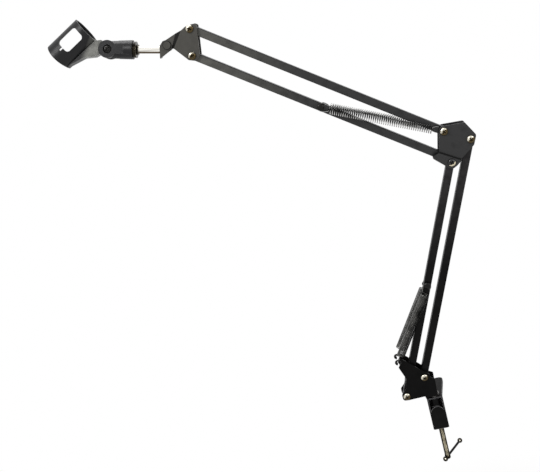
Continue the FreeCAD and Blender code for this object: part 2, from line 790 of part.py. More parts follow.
def microphone_rod():
    """Plain rod riveted into the clevis web, with a threaded stud on its far end."""
    rod = size("rod_radius")
    spigot = size("rod_spigot_radius")
    rivet = size("rod_rivet_radius")
    start = size("clevis_web_reach")
    shoulder = start + SHEET
    stud = size("stud_radius")
    profile = [
        (0.0, start - SHEET), (rivet, start - SHEET), (rivet, start), (spigot, start), (spigot, shoulder),
        (rod, shoulder), (rod, size("rod_end")), (stud, size("rod_end")), (stud, size("stud_end")),
        (0.0, size("stud_end")),
    ]
    node(turned_body("rod_turned", *along_rod(profile)), "microphone_rod")


def barrel_insert():
    """Threaded metal insert: a sleeve in the barrel, a flange against it and a step in front."""
    bore = size("stud_radius") + size("pin_fit")
    start = size("insert_start")
    flange = start + size("insert_length")
    sleeve = size("insert_sleeve_radius")
    step = size("insert_step_radius")
    front = start - size("insert_step")
    profile = [
        (bore, front), (step, front), (step, start), (size("insert_radius"), start),
        (size("insert_radius"), flange), (sleeve, flange), (sleeve, size("insert_end")),
        (bore, size("insert_end")),
    ]
    node(turned_body("insert_turned", *along_rod(profile)), "barrel_insert")


def clip_barrel():
    """Moulded clip base: a flaring round barrel that becomes two ears about the clip's pivot."""
    start = size("barrel_start")
    pivot = size("clip_pivot_reach")
    rim = size("barrel_rim")
    neck = size("barrel_neck_radius")
    wide = size("barrel_radius")
    ear = size("ear_half")
    slot_half = size("slot_half")
    fit = size("face_fit")
    drop = Vector(0, 0, -size("rod_drop"))
    way = -X_AXIS
    through = ear + size("overrun")
    mouth = Part.makeCylinder(wide, rim, drop + way * start, way)
    barrel = mouth.fuse(Part.makeCone(wide, neck, pivot - start - rim, drop + way * (start + rim), way))
    ears = rod_along(Y_AXIS, neck, -ear, ear, CLIP_PIVOT_LOCAL)
    slab = Part.makeBox(pivot - start, 2 * ear, 2 * wide, CLIP_PIVOT_LOCAL + Vector(0, -ear, -wide))
    round_base = mouth.fuse(
        Part.makeCone(wide, neck, size("insert_end") - start, drop + way * (start + rim), way)
    )
    body = barrel.common(slab).fuse([ears, round_base]).removeSplitter()
    depth = size("slot_depth")
    slot = Part.makeBox(
        2 * depth, 2 * slot_half, 2 * wide, CLIP_PIVOT_LOCAL + Vector(-depth, -slot_half, -wide)
    )
    sleeve = rod_along(way, size("insert_sleeve_radius"), start - rim, size("insert_end") + fit, drop)
    shank = size("clip_screw_radius") + size("pin_fit")
    screw = rod_along(Y_AXIS, shank, -through, through, CLIP_PIVOT_LOCAL)
    seat = ear - size("ear_recess")
    head = size("clip_head_radius") + fit
    recess = rod_along(Y_AXIS, head, -through, -seat, CLIP_PIVOT_LOCAL)
    well = rod_along(Y_AXIS, head, seat, through, CLIP_PIVOT_LOCAL)
    return feature("clip_barrel", body.cut([slot, sleeve, screw, recess, well]), CLIP_BASE_PLACE)


def clip_screw():
    """Pan-head screw through the ears, and the nut sunk in the far ear."""
    depth = size("ear_half") - size("ear_recess")
    head = size("ear_recess") + size("face_fit")
    profile = bolt_profile(
        size("clip_screw_radius"), size("clip_head_radius"), head, 2 * depth, size("ear_recess")
    )
    front = FreeCAD.Placement(CLIP_PIVOT_LOCAL - Y_AXIS * depth, FreeCAD.Rotation(X_AXIS, RIGHT_ANGLE))
    back = FreeCAD.Placement(CLIP_PIVOT_LOCAL + Y_AXIS * depth, FreeCAD.Rotation(X_AXIS, -RIGHT_ANGLE))
    node(turned_body("clip_pan_screw", profile, CLIP_BASE_PLACE.multiply(front)), "clip_screw")
    nut = hex_nut(
        "clip_sunk_nut", CLIP_BASE_PLACE.multiply(back), "sizes.clip_head_radius", "sizes.ear_recess",
        "sizes.clip_screw_radius",
    )
    node(nut, "clip_nut")


def around_bore(radius, angle):
    """A point of the clip's section, by its angle from the far side over the top."""
    turn = math.radians(angle)
    return Vector(0, radius * math.cos(turn), radius * math.sin(turn))


def clip_section(far):
    """Closed outline of the trough's wall, an arc from the near lip under the bore to a far lip."""
    inner = size("clip_bore_radius")
    outer = inner + size("clip_wall")
    middle = (inner + outer) / 2
    near = size("clip_near_lip_angle")
    under = (near + far) / 2
    lip = math.degrees(size("clip_wall") / outer) / 2
    return [
        Part.Arc(around_bore(outer, near), around_bore(outer, under), around_bore(outer, far)),
        Part.Arc(around_bore(outer, far), around_bore(middle, far + lip), around_bore(inner, far)),
        Part.Arc(around_bore(inner, far), around_bore(inner, under), around_bore(inner, near)),
        Part.Arc(around_bore(inner, near), around_bore(middle, near - lip), around_bore(outer, near)),
    ]


def clip_windows(reach):
    """The rounded window of the near wall and the slit that runs out of its far end."""
    right = -size("window_start")
    left = right - size("window_length")
    sill = size("window_low")
    head = sill + size("window_height")
    window = prism(
        [Vector(left, 0, sill), Vector(right, 0, sill), Vector(right, 0, head), Vector(left, 0, head)],
        [size("window_round")] * QUARTERS, -reach, 0,
    )
    half = size("slit_width") / 2
    low = size("slit_height") - half
    slit = Part.makeBox(
        2 * size("slit_length"), reach, 2 * half, Vector(left - size("slit_length"), -reach, low)
    )
    return [window, slit]


def microphone_clip():
    """Open trough with a split hoop, on a flat base strip, and a neck whose tongue sits between the ears."""
    inner = size("clip_bore_radius")
    outer = inner + size("clip_wall")
    axis_height = size("clip_centre")
    centre = Vector(0, 0, axis_height)
    right = -size("clip_near")
    left = right - size("clip_length")
    low = axis_height - outer
    high = axis_height + outer
    reach = outer + size("overrun")
    bulge = size("clip_bulge")
    boss = size("tongue_round")
    wall = face_of(clip_section(size("clip_far_lip_angle"))).extrude(Vector(size("clip_length"), 0, 0))
    wall.translate(centre + Vector(left, 0, 0))
    hoop = face_of(clip_section(size("hoop_lip_angle"))).extrude(Vector(size("hoop_length"), 0, 0))
    hoop.translate(centre + Vector(right - size("hoop_length"), 0, 0))
    base = size("clip_base_half")
    strip = Part.makeBox(
        size("clip_length"), 2 * base, size("clip_base_top") - low, Vector(left, -base, low)
    )
    middle = low + (high - low) * MID_HEIGHT_SHARE
    side_view = [
        Part.Arc(Vector(left + bulge, 0, low), Vector(left, 0, middle), Vector(left + bulge, 0, high)),
        Part.LineSegment(Vector(left + bulge, 0, high), Vector(right, 0, high)),
        Part.LineSegment(Vector(right, 0, high), Vector(right, 0, low)),
        Part.LineSegment(Vector(right, 0, low), Vector(left + bulge, 0, low)),
    ]
    outline = face_of(side_view).extrude(Y_AXIS * (2 * reach))
    outline.translate(Y_AXIS * -reach)
    trough = wall.fuse([hoop, strip]).common(outline).cut(clip_windows(reach))
    half = size("neck_half")
    wedge = prism(
        [Vector(x, 0, z) * boss for x, z in CLIP_NECK_SHARES], [0.0] * len(CLIP_NECK_SHARES), -half, half
    )
    ears = size("barrel_neck_radius") + size("neck_clearance")
    wedge = wedge.cut(rod_along(Y_AXIS, ears, -reach, reach))
    half = size("tongue_half")
    tongue = prism(
        [Vector(x, 0, z) * boss for x, z in CLIP_TONGUE_SHARES], [0.0] * len(CLIP_TONGUE_SHARES), -half, half
    )
    tongue = tongue.fuse([wedge, rod_along(Y_AXIS, boss, -half, half)])
    bore = rod_along(X_AXIS, inner, left - bulge, bulge - left, centre)
    shape = trough.fuse(tongue).cut(bore).removeSplitter()
    shape = shape.cut(rod_along(Y_AXIS, size("clip_screw_radius") + size("pin_fit"), -reach, reach))
    return feature("microphone_clip", shape, CLIP_PLACE)


# Clamp, about the post's axis
def clamp_body():
    """Cast clamp: a ribbed spine with the post socket, a fanned upper jaw and a bored lower jaw."""
    half = size("spine_half")
    back = size("spine_depth") / 2
    bottom = -size("clamp_bottom")
    top = size("jaw_thickness")
    tip = back + size("jaw_length")
    screw_y = size("screw_setback") - POST_Y
    over = size("overrun")
    spine = prism(rectangle(half, back), [size("spine_round")] * QUARTERS, bottom, top, Z_AXIS)
    fan = size("jaw_tip_half")
    jaw = prism(
        [Vector(-half, 0, 0), Vector(half, 0, 0), Vector(fan, tip, 0), Vector(-fan, tip, 0)],
        [0.0, 0.0, size("jaw_round"), size("jaw_round")], 0, top, Z_AXIS,
    )
    ledge = bottom + size("lower_jaw_thickness")
    arm = Part.makeBox(2 * half, screw_y, ledge - bottom, Vector(-half, 0, bottom))
    boss = rod_along(Z_AXIS, half, bottom, ledge, Vector(0, screw_y, 0))
    channel = size("channel_half")
    arch_side = size("arch_top") + channel * ARCH_RISE_SHARE
    outline = [
        Part.LineSegment(Vector(-channel, 0, size("channel_top")), Vector(channel, 0, size("channel_top"))),
        Part.LineSegment(Vector(channel, 0, size("channel_top")), Vector(channel, 0, -arch_side)),
        Part.Arc(Vector(channel, 0, -arch_side), Vector(0, 0, -size("arch_top")),
                 Vector(-channel, 0, -arch_side)),
        Part.LineSegment(Vector(-channel, 0, -arch_side), Vector(-channel, 0, size("channel_top"))),
    ]
    recess = face_of(outline).extrude(Y_AXIS * (back + over))
    recess.translate(Y_AXIS * (-back - over))
    hub = rod_along(Z_AXIS, size("hub_radius"), -size("post_depth") - over, top)
    shape = spine.cut(recess).fuse([jaw, arm, boss, hub]).removeSplitter()
    socket = rod_along(Z_AXIS, size("post_radius") + size("pin_fit"), -size("post_depth"), top + over)
    screw = size("screw_radius") + size("pin_fit")
    thread = rod_along(Z_AXIS, screw, bottom - over, ledge + over, Vector(0, screw_y, 0))
    return feature("clamp_body", shape.cut([socket, thread]), POST_PLACE)


def base_post():
    """Turned post with the collar that rides on the socket, riveted over the bracket's web."""
    post = size("post_radius")
    web = size("pivot_height") + size("web_height")
    collar = size("collar_radius")
    low = size("jaw_thickness") + size("face_fit")
    rivet = web + SHEET
    tip = size("face_fit") - size("post_depth")
    profile = [
        (0.0, tip), (post, tip), (post, low), (collar, low), (collar, web), (post, web), (post, rivet),
        (post + SHEET, rivet),
        (post, rivet + size("rivet_height")), (0.0, rivet + size("rivet_height")),
    ]
    node(turned_body("post_turned", profile, POST_PLACE), "base_post")


def pressure_pad():
    """Round pad on the screw's tip, hollow below so that the screw turns in it."""
    high = -size("pad_rest")
    low = high - size("pad_height")
    wide = size("pad_radius")
    edge = size("pad_height") * PAD_CHAMFER_SHARE
    bore = size("screw_tip_radius") + size("pin_fit")
    floor = low + size("screw_tip") + size("face_fit")
    profile = [
        (0.0, floor), (bore, floor), (bore, low), (wide - edge, low), (wide, low + edge), (wide, high),
        (0.0, high),
    ]
    node(turned_body("pad_turned", profile, SCREW_PLACE), "pressure_pad")


def clamp_screw():
    """Screw with a reduced tip in the pad and a cross-bored head for the tee bar."""
    seat = -size("pad_rest") - size("pad_height") - size("face_fit")
    end = seat - size("screw_length")
    tip = size("screw_tip_radius")
    head = size("screw_head_radius")
    shank = size("screw_radius")
    shoulder = end + size("screw_head_height")
    round_off = head * BOLT_DOME_SHARE
    profile = [
        (0.0, end), (head - round_off, end), (head, end + round_off), (head, shoulder),
        (shank, shoulder + round_off), (shank, seat), (tip, seat), (tip, seat + size("screw_tip")),
        (0.0, seat + size("screw_tip")),
    ]
    body = turned_body("clamp_screw", profile, SCREW_PLACE)
    bar = Part.Circle(Vector(0, tee_height(), 0), Z_AXIS, size("tee_radius") + size("pin_fit"))
    cross = body.newObject("PartDesign::Pocket", "TeeBore")
    cross.Profile = sketch_on(body, "XZ_Plane", [bar])
    cross.Type = "ThroughAll"
    cross.SideType = "Symmetric"
    body.Placement = FreeCAD.Placement(SCREW_PLACE.Base, FreeCAD.Rotation(Z_AXIS, -size("tee_turn")))
    node(body, "clamp_screw")


def tee_height():
    seat = -size("pad_rest") - size("pad_height") - size("face_fit")
    return seat - size("screw_length") + size("screw_head_height") / 2


def tee_bar():
    """Sliding bar through the screw's head with a ball on each end, the front ball against the head."""
    ball = size("tee_ball_radius")
    start = size("screw_head_radius") + size("face_fit") + ball / 2
    level = FreeCAD.Rotation(X_AXIS, -RIGHT_ANGLE)
    turn = FreeCAD.Rotation(Z_AXIS, -size("tee_turn")).multiply(level)
    centre = SCREW_PLACE.Base + Z_AXIS * tee_height()
    along = turn.multVec(Z_AXIS)
    place = FreeCAD.Placement(centre - along * start, turn)
    bar = bound("Part::Cylinder", "tee_rod", Radius="sizes.tee_radius", Height="sizes.tee_bar_length")
    bar.Placement = place
    node(bar, "tee_bar")
    knobs = []
    for name, end, side in (("front", 0.0, -1), ("back", size("tee_bar_length"), 1)):
        sphere = bound("Part::Sphere", f"tee_ball_{name}", Radius="sizes.tee_ball_radius")
        sphere.Placement.Base = Z_AXIS * (end + side * ball / 2)
        label = "tee_knob_" + name
        knobs.append(bored(label, sphere, "sizes.tee_radius", "sizes.tee_bar_length", place))
    group("tee_bar_balls", knobs)


clamp_body()
pressure_pad()
clamp_screw()
tee_bar()

base_bracket()
base_post()
fasteners("base", ((BASE_1, ("base_gap",), True), (BASE_2, ("base_gap",), True)))
tube("lower_main_tube", "lower_length", BASE_1, size("lower_angle"), "lower_pin_reach")
tube("lower_link_tube", "lower_length", BASE_2, size("lower_angle"))
spring_pin("lower_spring_pin", LOWER_PIN)

elbow_plates()
LUG_GAP = ("elbow_gap", "elbow_step")
fasteners("elbow", (
    (ELBOW_1, LUG_GAP, True), (ELBOW_2, ("elbow_gap",), True), (ELBOW_4, ("elbow_gap",), False),
))
elbow_rivet(LUG_GAP)
tube("upper_main_tube", "upper_length", ELBOW_3, size("upper_angle"), "upper_pin_reach")
tube("upper_link_tube", "upper_length", ELBOW_4, size("upper_angle"))
spring_pin("upper_spring_pin", UPPER_PIN)

HOOK_SEAT = HOOK + Vector(LOWER_PIN - HOOK).normalize() * (
    size("hook_radius") - size("wire_diameter") / 2 - size("loop_fit")
)
LOWER_COIL = (size("lower_coil_reach"), size("lower_turns"), True)
UPPER_COIL = (size("upper_coil_reach"), size("upper_turns"), False)
for side, front in (("front", True), ("rear", False)):
    spring("lower_spring_" + side, LOWER_PIN, HOOK_SEAT, *LOWER_COIL, front)
    spring("upper_spring_" + side, UPPER_PIN, ELBOW_4, *UPPER_COIL, front)

head_plates()
fasteners("head", ((HEAD_1, ("head_gap",), True), (HEAD_2, ("head_gap",), True)))
tilt_clevis()
tilt_bolt()
microphone_rod()
barrel_insert()
clip_barrel()
clip_screw()
microphone_clip()

doc.recompute()
faults = [obj.Name for obj in doc.Objects if {"Invalid", "Error"} & set(obj.State)]
faults += [obj.Label for obj in NODES if obj.Shape.isNull() or not obj.Shape.isValid()]
if faults:
    raise RuntimeError("failed objects: " + ", ".join(faults))

os.makedirs("parts", exist_ok=True)
for obj in NODES:
    obj.Shape.exportStep(f"parts/{obj.Label}.step")
    print(obj.Label, len(obj.Shape.Solids), round(obj.Shape.Volume, 1))
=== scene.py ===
"""Looks of a desk microphone boom arm: paint, plating, plastic, and the wound, cut and threaded details."""

import json
import logging
import math
from abc import ABC, abstractmethod
from dataclasses import dataclass, replace
from enum import Enum

import bmesh
import bpy
from mathutils import Matrix, Vector

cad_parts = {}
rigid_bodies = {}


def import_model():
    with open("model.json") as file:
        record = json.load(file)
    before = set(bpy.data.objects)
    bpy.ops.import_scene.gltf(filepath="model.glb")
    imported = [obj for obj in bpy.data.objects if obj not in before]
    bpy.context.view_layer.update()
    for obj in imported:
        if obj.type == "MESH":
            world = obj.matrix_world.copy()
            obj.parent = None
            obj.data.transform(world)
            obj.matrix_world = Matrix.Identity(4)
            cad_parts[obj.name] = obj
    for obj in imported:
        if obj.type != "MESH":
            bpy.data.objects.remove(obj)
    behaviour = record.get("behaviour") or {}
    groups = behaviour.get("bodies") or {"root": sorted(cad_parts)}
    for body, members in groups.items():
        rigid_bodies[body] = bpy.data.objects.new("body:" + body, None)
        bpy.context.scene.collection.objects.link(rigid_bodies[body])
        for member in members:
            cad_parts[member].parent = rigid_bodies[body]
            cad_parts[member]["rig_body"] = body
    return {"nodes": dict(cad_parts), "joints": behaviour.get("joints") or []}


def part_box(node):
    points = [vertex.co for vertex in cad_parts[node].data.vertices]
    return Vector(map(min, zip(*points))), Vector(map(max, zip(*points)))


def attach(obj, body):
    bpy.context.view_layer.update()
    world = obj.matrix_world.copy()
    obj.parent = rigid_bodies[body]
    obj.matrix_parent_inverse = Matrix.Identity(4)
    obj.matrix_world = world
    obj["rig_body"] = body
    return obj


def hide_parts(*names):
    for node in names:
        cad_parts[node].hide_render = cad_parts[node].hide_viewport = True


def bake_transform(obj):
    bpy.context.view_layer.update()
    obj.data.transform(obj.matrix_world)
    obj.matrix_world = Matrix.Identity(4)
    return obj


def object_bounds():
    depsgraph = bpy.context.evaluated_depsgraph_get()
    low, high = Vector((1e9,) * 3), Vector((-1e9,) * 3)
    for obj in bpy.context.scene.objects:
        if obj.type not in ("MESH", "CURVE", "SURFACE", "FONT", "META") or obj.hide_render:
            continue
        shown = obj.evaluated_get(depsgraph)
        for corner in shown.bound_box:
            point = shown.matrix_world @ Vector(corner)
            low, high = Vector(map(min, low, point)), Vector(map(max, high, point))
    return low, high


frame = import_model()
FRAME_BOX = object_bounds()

Triple = tuple[float, float, float]
Pair = tuple[float, float]
Outline = list[tuple[float, float]]
Socket = bpy.types.NodeSocket
Shape = bmesh.types.BMesh

LOG = logging.getLogger("boom_arm")
MM = 0.001
PIVOTS = {joint["name"]: Vector(joint["pos_m"]) for joint in frame["joints"] if "pos_m" in joint}
AXES = {joint["name"]: Vector(joint["axis"]) for joint in frame["joints"] if "axis" in joint}
ACROSS = Vector((0.0, 1.0, 0.0))
FULL_TURN = 2.0 * math.pi
SMOOTH_ANGLE = math.radians(38.0)
WIRE_END_SHARE = 0.6

# Scales of noise are in patches per metre, with the octaves of finer noise beside them.
PATCH_NOISE = (90.0, 2.0)
STREAK_NOISE = (420.0, 2.0)
# Unevenness of the corners' rubbed wear and painted highlight.
RUB_AND_SHEEN_NOISE = (400.0, 3.0)
GLOSS_NOISE = (160.0, 2.0)
GLOSS_SPAN = (0.3, 0.7)
TONE_STOPS = (0.32, 0.72)
CORNER_SAMPLES = 8
CORNER_SPAN = (0.97, 0.75)
# Painted shade in crevices, found by ambient occlusion.
CREVICE_SAMPLES = 6
CREVICE_REACH = 2.5 * MM
CREVICE_SPAN = (0.95, 0.58)
CREVICE_SHADE_TONE = 0.12
# How far the side away from the painted shade is lifted towards the lighter tone, as painted highlight.
SIDE_LIGHT_LIFT = 0.2
BUMP_STRENGTH = 0.6
DRAWN_WAVER = 2.5
DRAWN_OCTAVES = 2.0
POWDER_OCTAVES = 6.0
SMOOTH_OCTAVES = 3.0


@dataclass(frozen=True)
class Wiring:
    """Lays and joins the nodes of one material or of the world.

    Args:
        tree: the node tree they stand in.
    """

    tree: bpy.types.NodeTree

    def join(self, source: Socket, target: Socket) -> None:
        """Joins an output to an input."""
        self.tree.links.new(source, target)

    def node(self, kind: str, values: dict[str, float | tuple[float, ...]] | None = None) -> bpy.types.Node:
        """Lays a node.

        Args:
            kind: its kind, without the prefix that all kinds share.
            values: values of its inputs by name.

        Returns:
            The node.
        """
        laid = self.tree.nodes.new("ShaderNode" + kind)
        for name, value in (values or {}).items():
            laid.inputs[name].default_value = value
        return laid

    def place(self, output: str) -> Socket:
        """A texture coordinate of the piece."""
        return self.node("TexCoord").outputs[output]

    def noise(self, place: Socket, scale: float, detail: float) -> Socket:
        """Lays a noise field over the piece.

        Args:
            place: socket with the place on the piece.
            scale: patches per metre.
            detail: octaves of finer noise.

        Returns:
            The socket with the field, from 0 to 1.
        """
        laid = self.node("TexNoise", {"Scale": scale, "Detail": detail})
        self.join(place, laid.inputs["Vector"])
        return laid.outputs["Fac"]

    def ranged(self, value: Socket, span: Pair, to: Pair = (0.0, 1.0)) -> Socket:
        """Stretches one span of values over another and holds it at both ends.

        Args:
            value: socket with the value.
            span: the span it comes from.
            to: the span it goes to.

        Returns:
            The socket with the stretched value.
        """
        ends = {"From Min": span[0], "From Max": span[1], "To Min": to[0], "To Max": to[1]}
        laid = self.node("MapRange", ends)
        self.join(value, laid.inputs["Value"])
        return laid.outputs["Result"]

    def reckoned(self, operation: str, first: Socket, second: Socket, clamp: bool = False) -> Socket:
        """Reckons one value from two.

        Args:
            operation: how they are joined.
            first: socket with the first value.
            second: socket with the second value.
            clamp: whether the result is kept between 0 and 1.

        Returns:
            The socket with the result.
        """
        laid = self.node("Math")
        laid.operation = operation
        laid.use_clamp = clamp
        self.join(first, laid.inputs[0])
        self.join(second, laid.inputs[1])
        return laid.outputs["Value"]

    def agreement(self, first: Socket, second: Socket | Triple) -> Socket:
        """How far one vector runs along another.

        Args:
            first: socket with the vector.
            second: socket with the other vector, or the vector itself.

        Returns:
            The socket with their dot product.
        """
        laid = self.node("VectorMath")
        laid.operation = "DOT_PRODUCT"
        self.join(first, laid.inputs[0])
        if isinstance(second, tuple):
            laid.inputs[1].default_value = second
        else:
            self.join(second, laid.inputs[1])
        return laid.outputs["Value"]

    def toned(self, field: Socket, stops: Pair, tones: tuple[Triple, Triple]) -> Socket:
        """Turns a field into two tones that run into each other.

        Args:
            field: socket with the field.
            stops: where the first tone ends and where the second starts.
            tones: the two tones.

        Returns:
            The colour socket.
        """
        laid = self.node("ValToRGB")
        for element, stop, tone in zip(laid.color_ramp.elements, stops, tones):
            element.position = stop
            element.color = (*tone, 1.0)
        self.join(field, laid.inputs["Fac"])
        return laid.outputs["Color"]

    def covered(self, share: Socket, under: Socket, over: Triple) -> Socket:
        """Covers a colour with another.

        Args:
            share: socket with how far it is covered.
            under: socket with the colour below.
            over: the colour that covers it.

        Returns:
            The colour socket.
        """
        laid = self.node("Mix")
        laid.data_type = "RGBA"
        low, high = [socket for socket in laid.inputs if socket.type == "RGBA"]
        high.default_value = (*over, 1.0)
        self.join(share, laid.inputs["Factor"])
        self.join(under, low)
        return next(socket for socket in laid.outputs if socket.type == "RGBA")

    def blended(self, share: Socket, first: Socket, second: Socket) -> Socket:
        """Blends two shaders.

        Args:
            share: socket with the share of the second.
            first: the first shader.
            second: the second shader.

        Returns:
            The shader socket.
        """
        laid = self.node("MixShader")
        for source, target in zip((share, first, second), laid.inputs):
            self.join(source, target)
        return laid.outputs["Shader"]


class Grain(Enum):
    """What the surface shows close up."""

    POWDER = "powder"
    CAST = "cast"
    MOULDED = "moulded"
    PLATED = "plated"
    DRAWN = "drawn"


@dataclass(frozen=True)
class Finish:
    """One surface finish of the arm, as a procedural material.

    Args:
        name: name of the material.
        deep: colour in the deeper patches.
        raised: colour in the lighter patches.
        edge: colour of the corners, partly rubbed wear and partly painted highlight.
        rub_and_sheen: how far a corner takes the edge colour.
        gloss: roughness of the smoothest and of the dullest patches.
        metal: 1 for bare metal and plating, 0 for paint and plastic.
        grain: what the surface shows close up.
        grain_scale: grains per metre.
        grain_depth: height of the grain in metres.
        specular: how strongly paint and plastic mirror the room.
        crevice_shade: how far painted shade darkens the crevices.
        corner: radius to which light rounds a corner, in metres.
        streak: how much longer a patch runs along the piece than across it.
        lean: angle of that run about the Y axis.
        side_shade: how far painted shade darkens the side of the piece that looks one way, while the other
            side is lifted towards the lighter tone as painted highlight; together they stand in for the
            room's reflections.
        side_shade_way: the way the shaded side looks.
        side_shade_span: lean to that way where the painted shade starts and where it is full.
        lit_tone: the lighter colour of painted light that grows along the piece, if it has any.
        lit_way: the way the painted light grows.
        lit_span: where along that way it starts and where it is full, in metres.
    """

    name: str
    deep: Triple
    raised: Triple
    edge: Triple
    rub_and_sheen: float
    gloss: Pair
    metal: float
    grain: Grain
    grain_scale: float
    grain_depth: float
    specular: float = 0.5
    crevice_shade: float = 0.4
    corner: float = 0.35 * MM
    streak: float = 1.0
    lean: float = 0.0
    side_shade: float = 0.0
    side_shade_way: Triple = (0.0, 0.0, 1.0)
    side_shade_span: Pair = (-0.25, 0.45)
    lit_tone: Triple | None = None
    lit_way: Triple = (0.0, 0.0, 1.0)
    lit_span: Pair = (0.0, 1.0)

    def material(self) -> bpy.types.Material:
        """The material of this finish, made at its first use.

        Returns:
            The Blender material.
        """
        made = bpy.data.materials.get(self.name)
        if made is not None:
            return made
        made = bpy.data.materials.new(self.name)
        made.use_nodes = True
        wiring = Wiring(made.node_tree)
        shader = made.node_tree.nodes["Principled BSDF"]
        shader.inputs["Metallic"].default_value = self.metal
        shader.inputs["Specular IOR Level"].default_value = self.specular
        along = wiring.node("Mapping", {"Rotation": (0.0, self.lean, 0.0), "Scale": (self.streak, 1.0, 1.0)})
        along.vector_type = "TEXTURE"
        wiring.join(wiring.place("Object"), along.inputs["Vector"])
        place = along.outputs["Vector"]
        bevel = wiring.node("Bevel", {"Radius": self.corner})
        bevel.samples = CORNER_SAMPLES
        rounded = bevel.outputs["Normal"]
        wiring.join(self._colour(wiring, place, rounded), shader.inputs["Base Color"])
        wiring.join(self._roughness(wiring, place), shader.inputs["Roughness"])
        bump = wiring.node("Bump", {"Strength": BUMP_STRENGTH, "Distance": self.grain_depth})
        wiring.join(self._relief(wiring, place), bump.inputs["Height"])
        if self.grain is not Grain.MOULDED:
            wiring.join(rounded, bump.inputs["Normal"])
        wiring.join(bump.outputs["Normal"], shader.inputs["Normal"])
        return made

    def _colour(self, wiring: Wiring, place: Socket, rounded: Socket) -> Socket:
        """Patches of two tones, with corners lighter as rubbed wear and painted highlight, and painted shade
        in the crevices.

        Args:
            wiring: nodes of the material.
            place: socket with the place on the piece.
            rounded: socket with the normal of the rounded corners.

        Returns:
            The colour socket.
        """
        field = wiring.noise(place, *(PATCH_NOISE if self.streak == 1.0 else STREAK_NOISE))
        # Painted shade on one side of the piece, painted highlight on the other.
        if self.side_shade != 0.0:
            field = self._lit_and_shaded_by_side(wiring, field)
        body = wiring.toned(field, TONE_STOPS, (self.deep, self.raised))
        # Painted light that grows along the piece.
        if self.lit_tone is not None:
            body = self._lit_along(wiring, body, field)
        # Corners take the edge colour, partly as rubbed wear and partly as painted highlight.
        flat = wiring.node("NewGeometry").outputs["Normal"]
        corner = wiring.ranged(wiring.agreement(rounded, flat), CORNER_SPAN, (0.0, self.rub_and_sheen))
        uneven = wiring.reckoned("MULTIPLY", corner, wiring.noise(place, *RUB_AND_SHEEN_NOISE))
        return self._shaded_crevices(wiring, wiring.covered(uneven, body, self.edge))

    def _lit_along(self, wiring: Wiring, body: Socket, field: Socket) -> Socket:
        """Paints light along the piece by blending the patches to a lighter colour, but not on the side in
        painted shade.
        """
        share = wiring.ranged(wiring.agreement(wiring.place("Object"), self.lit_way), self.lit_span)
        return wiring.covered(wiring.reckoned("MULTIPLY", share, field, clamp=True), body, self.lit_tone)

    def _lit_and_shaded_by_side(self, wiring: Wiring, patches: Socket) -> Socket:
        """Paints shade into the field of patches on the side of the piece that looks one way, and lifts the
        other side as painted highlight.
        """
        lean = wiring.agreement(wiring.place("Normal"), self.side_shade_way)
        return wiring.reckoned("ADD", patches, wiring.ranged(lean, self.side_shade_span, (SIDE_LIGHT_LIFT, -self.side_shade)))

    def _shaded_crevices(self, wiring: Wiring, colour: Socket) -> Socket:
        """Paints shade into the crevices that ambient occlusion finds.

        Args:
            wiring: nodes of the material.
            colour: socket with the colour before the crevices are shaded.

        Returns:
            The colour socket.
        """
        hollow = wiring.node("AmbientOcclusion", {"Distance": CREVICE_REACH})
        hollow.samples = CREVICE_SAMPLES
        depth = wiring.ranged(hollow.outputs["AO"], CREVICE_SPAN, (0.0, self.crevice_shade))
        return wiring.covered(depth, colour, tuple(CREVICE_SHADE_TONE * tone for tone in self.deep))

    def _roughness(self, wiring: Wiring, place: Socket) -> Socket:
        """Smoother and duller patches."""
        return wiring.ranged(wiring.noise(place, *GLOSS_NOISE), GLOSS_SPAN, self.gloss)

    def _relief(self, wiring: Wiring, place: Socket) -> Socket:
        """The grain's own height field.

        Args:
            wiring: nodes of the material.
            place: socket with the place on the piece.

        Returns:
            The height socket.
        """
        scale = {"Scale": self.grain_scale}
        if self.grain is Grain.DRAWN:
            lines = wiring.node("TexWave", scale | {"Distortion": DRAWN_WAVER, "Detail": DRAWN_OCTAVES})
            wiring.join(place, lines.inputs["Vector"])
            return lines.outputs["Fac"]
        if self.grain is Grain.CAST:
            cells = wiring.node("TexVoronoi", scale)
            wiring.join(place, cells.inputs["Vector"])
            return cells.outputs["Distance"]
        octaves = POWDER_OCTAVES if self.grain is Grain.POWDER else SMOOTH_OCTAVES
        return wiring.noise(place, self.grain_scale, octaves)


# One satin paint for the whole arm, in copies of different tones as painted light and shade: lit at the
# head, shaded on the upper arm, more on the lower arm and most on the base.
HEAD_PAINT_LIT = Finish(
    name="head_satin_paint_lit",
    deep=(0.042, 0.040, 0.034), raised=(0.056, 0.053, 0.046), edge=(0.20, 0.19, 0.165),
    rub_and_sheen=0.5, gloss=(0.30, 0.38), metal=0.0, specular=0.40,
    grain=Grain.POWDER, grain_scale=1500.0, grain_depth=0.002 * MM,
)
# Painted shade for the sloped folds of the head plates and the rim of the tilt bolt.
FOLD_SHADE_PAINT = replace(
    HEAD_PAINT_LIT, name="fold_painted_shade",
    deep=(0.0035, 0.0033, 0.0030), raised=(0.0070, 0.0066, 0.0060), edge=(0.06, 0.056, 0.05),
    gloss=(0.28, 0.40), grain_depth=0.005 * MM, specular=0.12,
)
# The upper arm's shaded copy, with painted shade on the sides that look up and painted light towards the
# head.
UPPER_PAINT_SHADED = replace(
    HEAD_PAINT_LIT, name="upper_satin_paint_shaded",
    deep=(0.004, 0.004, 0.004), raised=(0.0235, 0.0235, 0.0239), edge=(0.035, 0.034, 0.033),
    grain_depth=0.003 * MM, specular=0.30,
    side_shade=0.9, side_shade_way=(0.589, 0.0, 0.808), side_shade_span=(0.12, 0.45),
    lit_tone=(0.112, 0.110, 0.098), lit_way=(-1.0, 0.0, 0.0), lit_span=(0.07, 0.19),
)
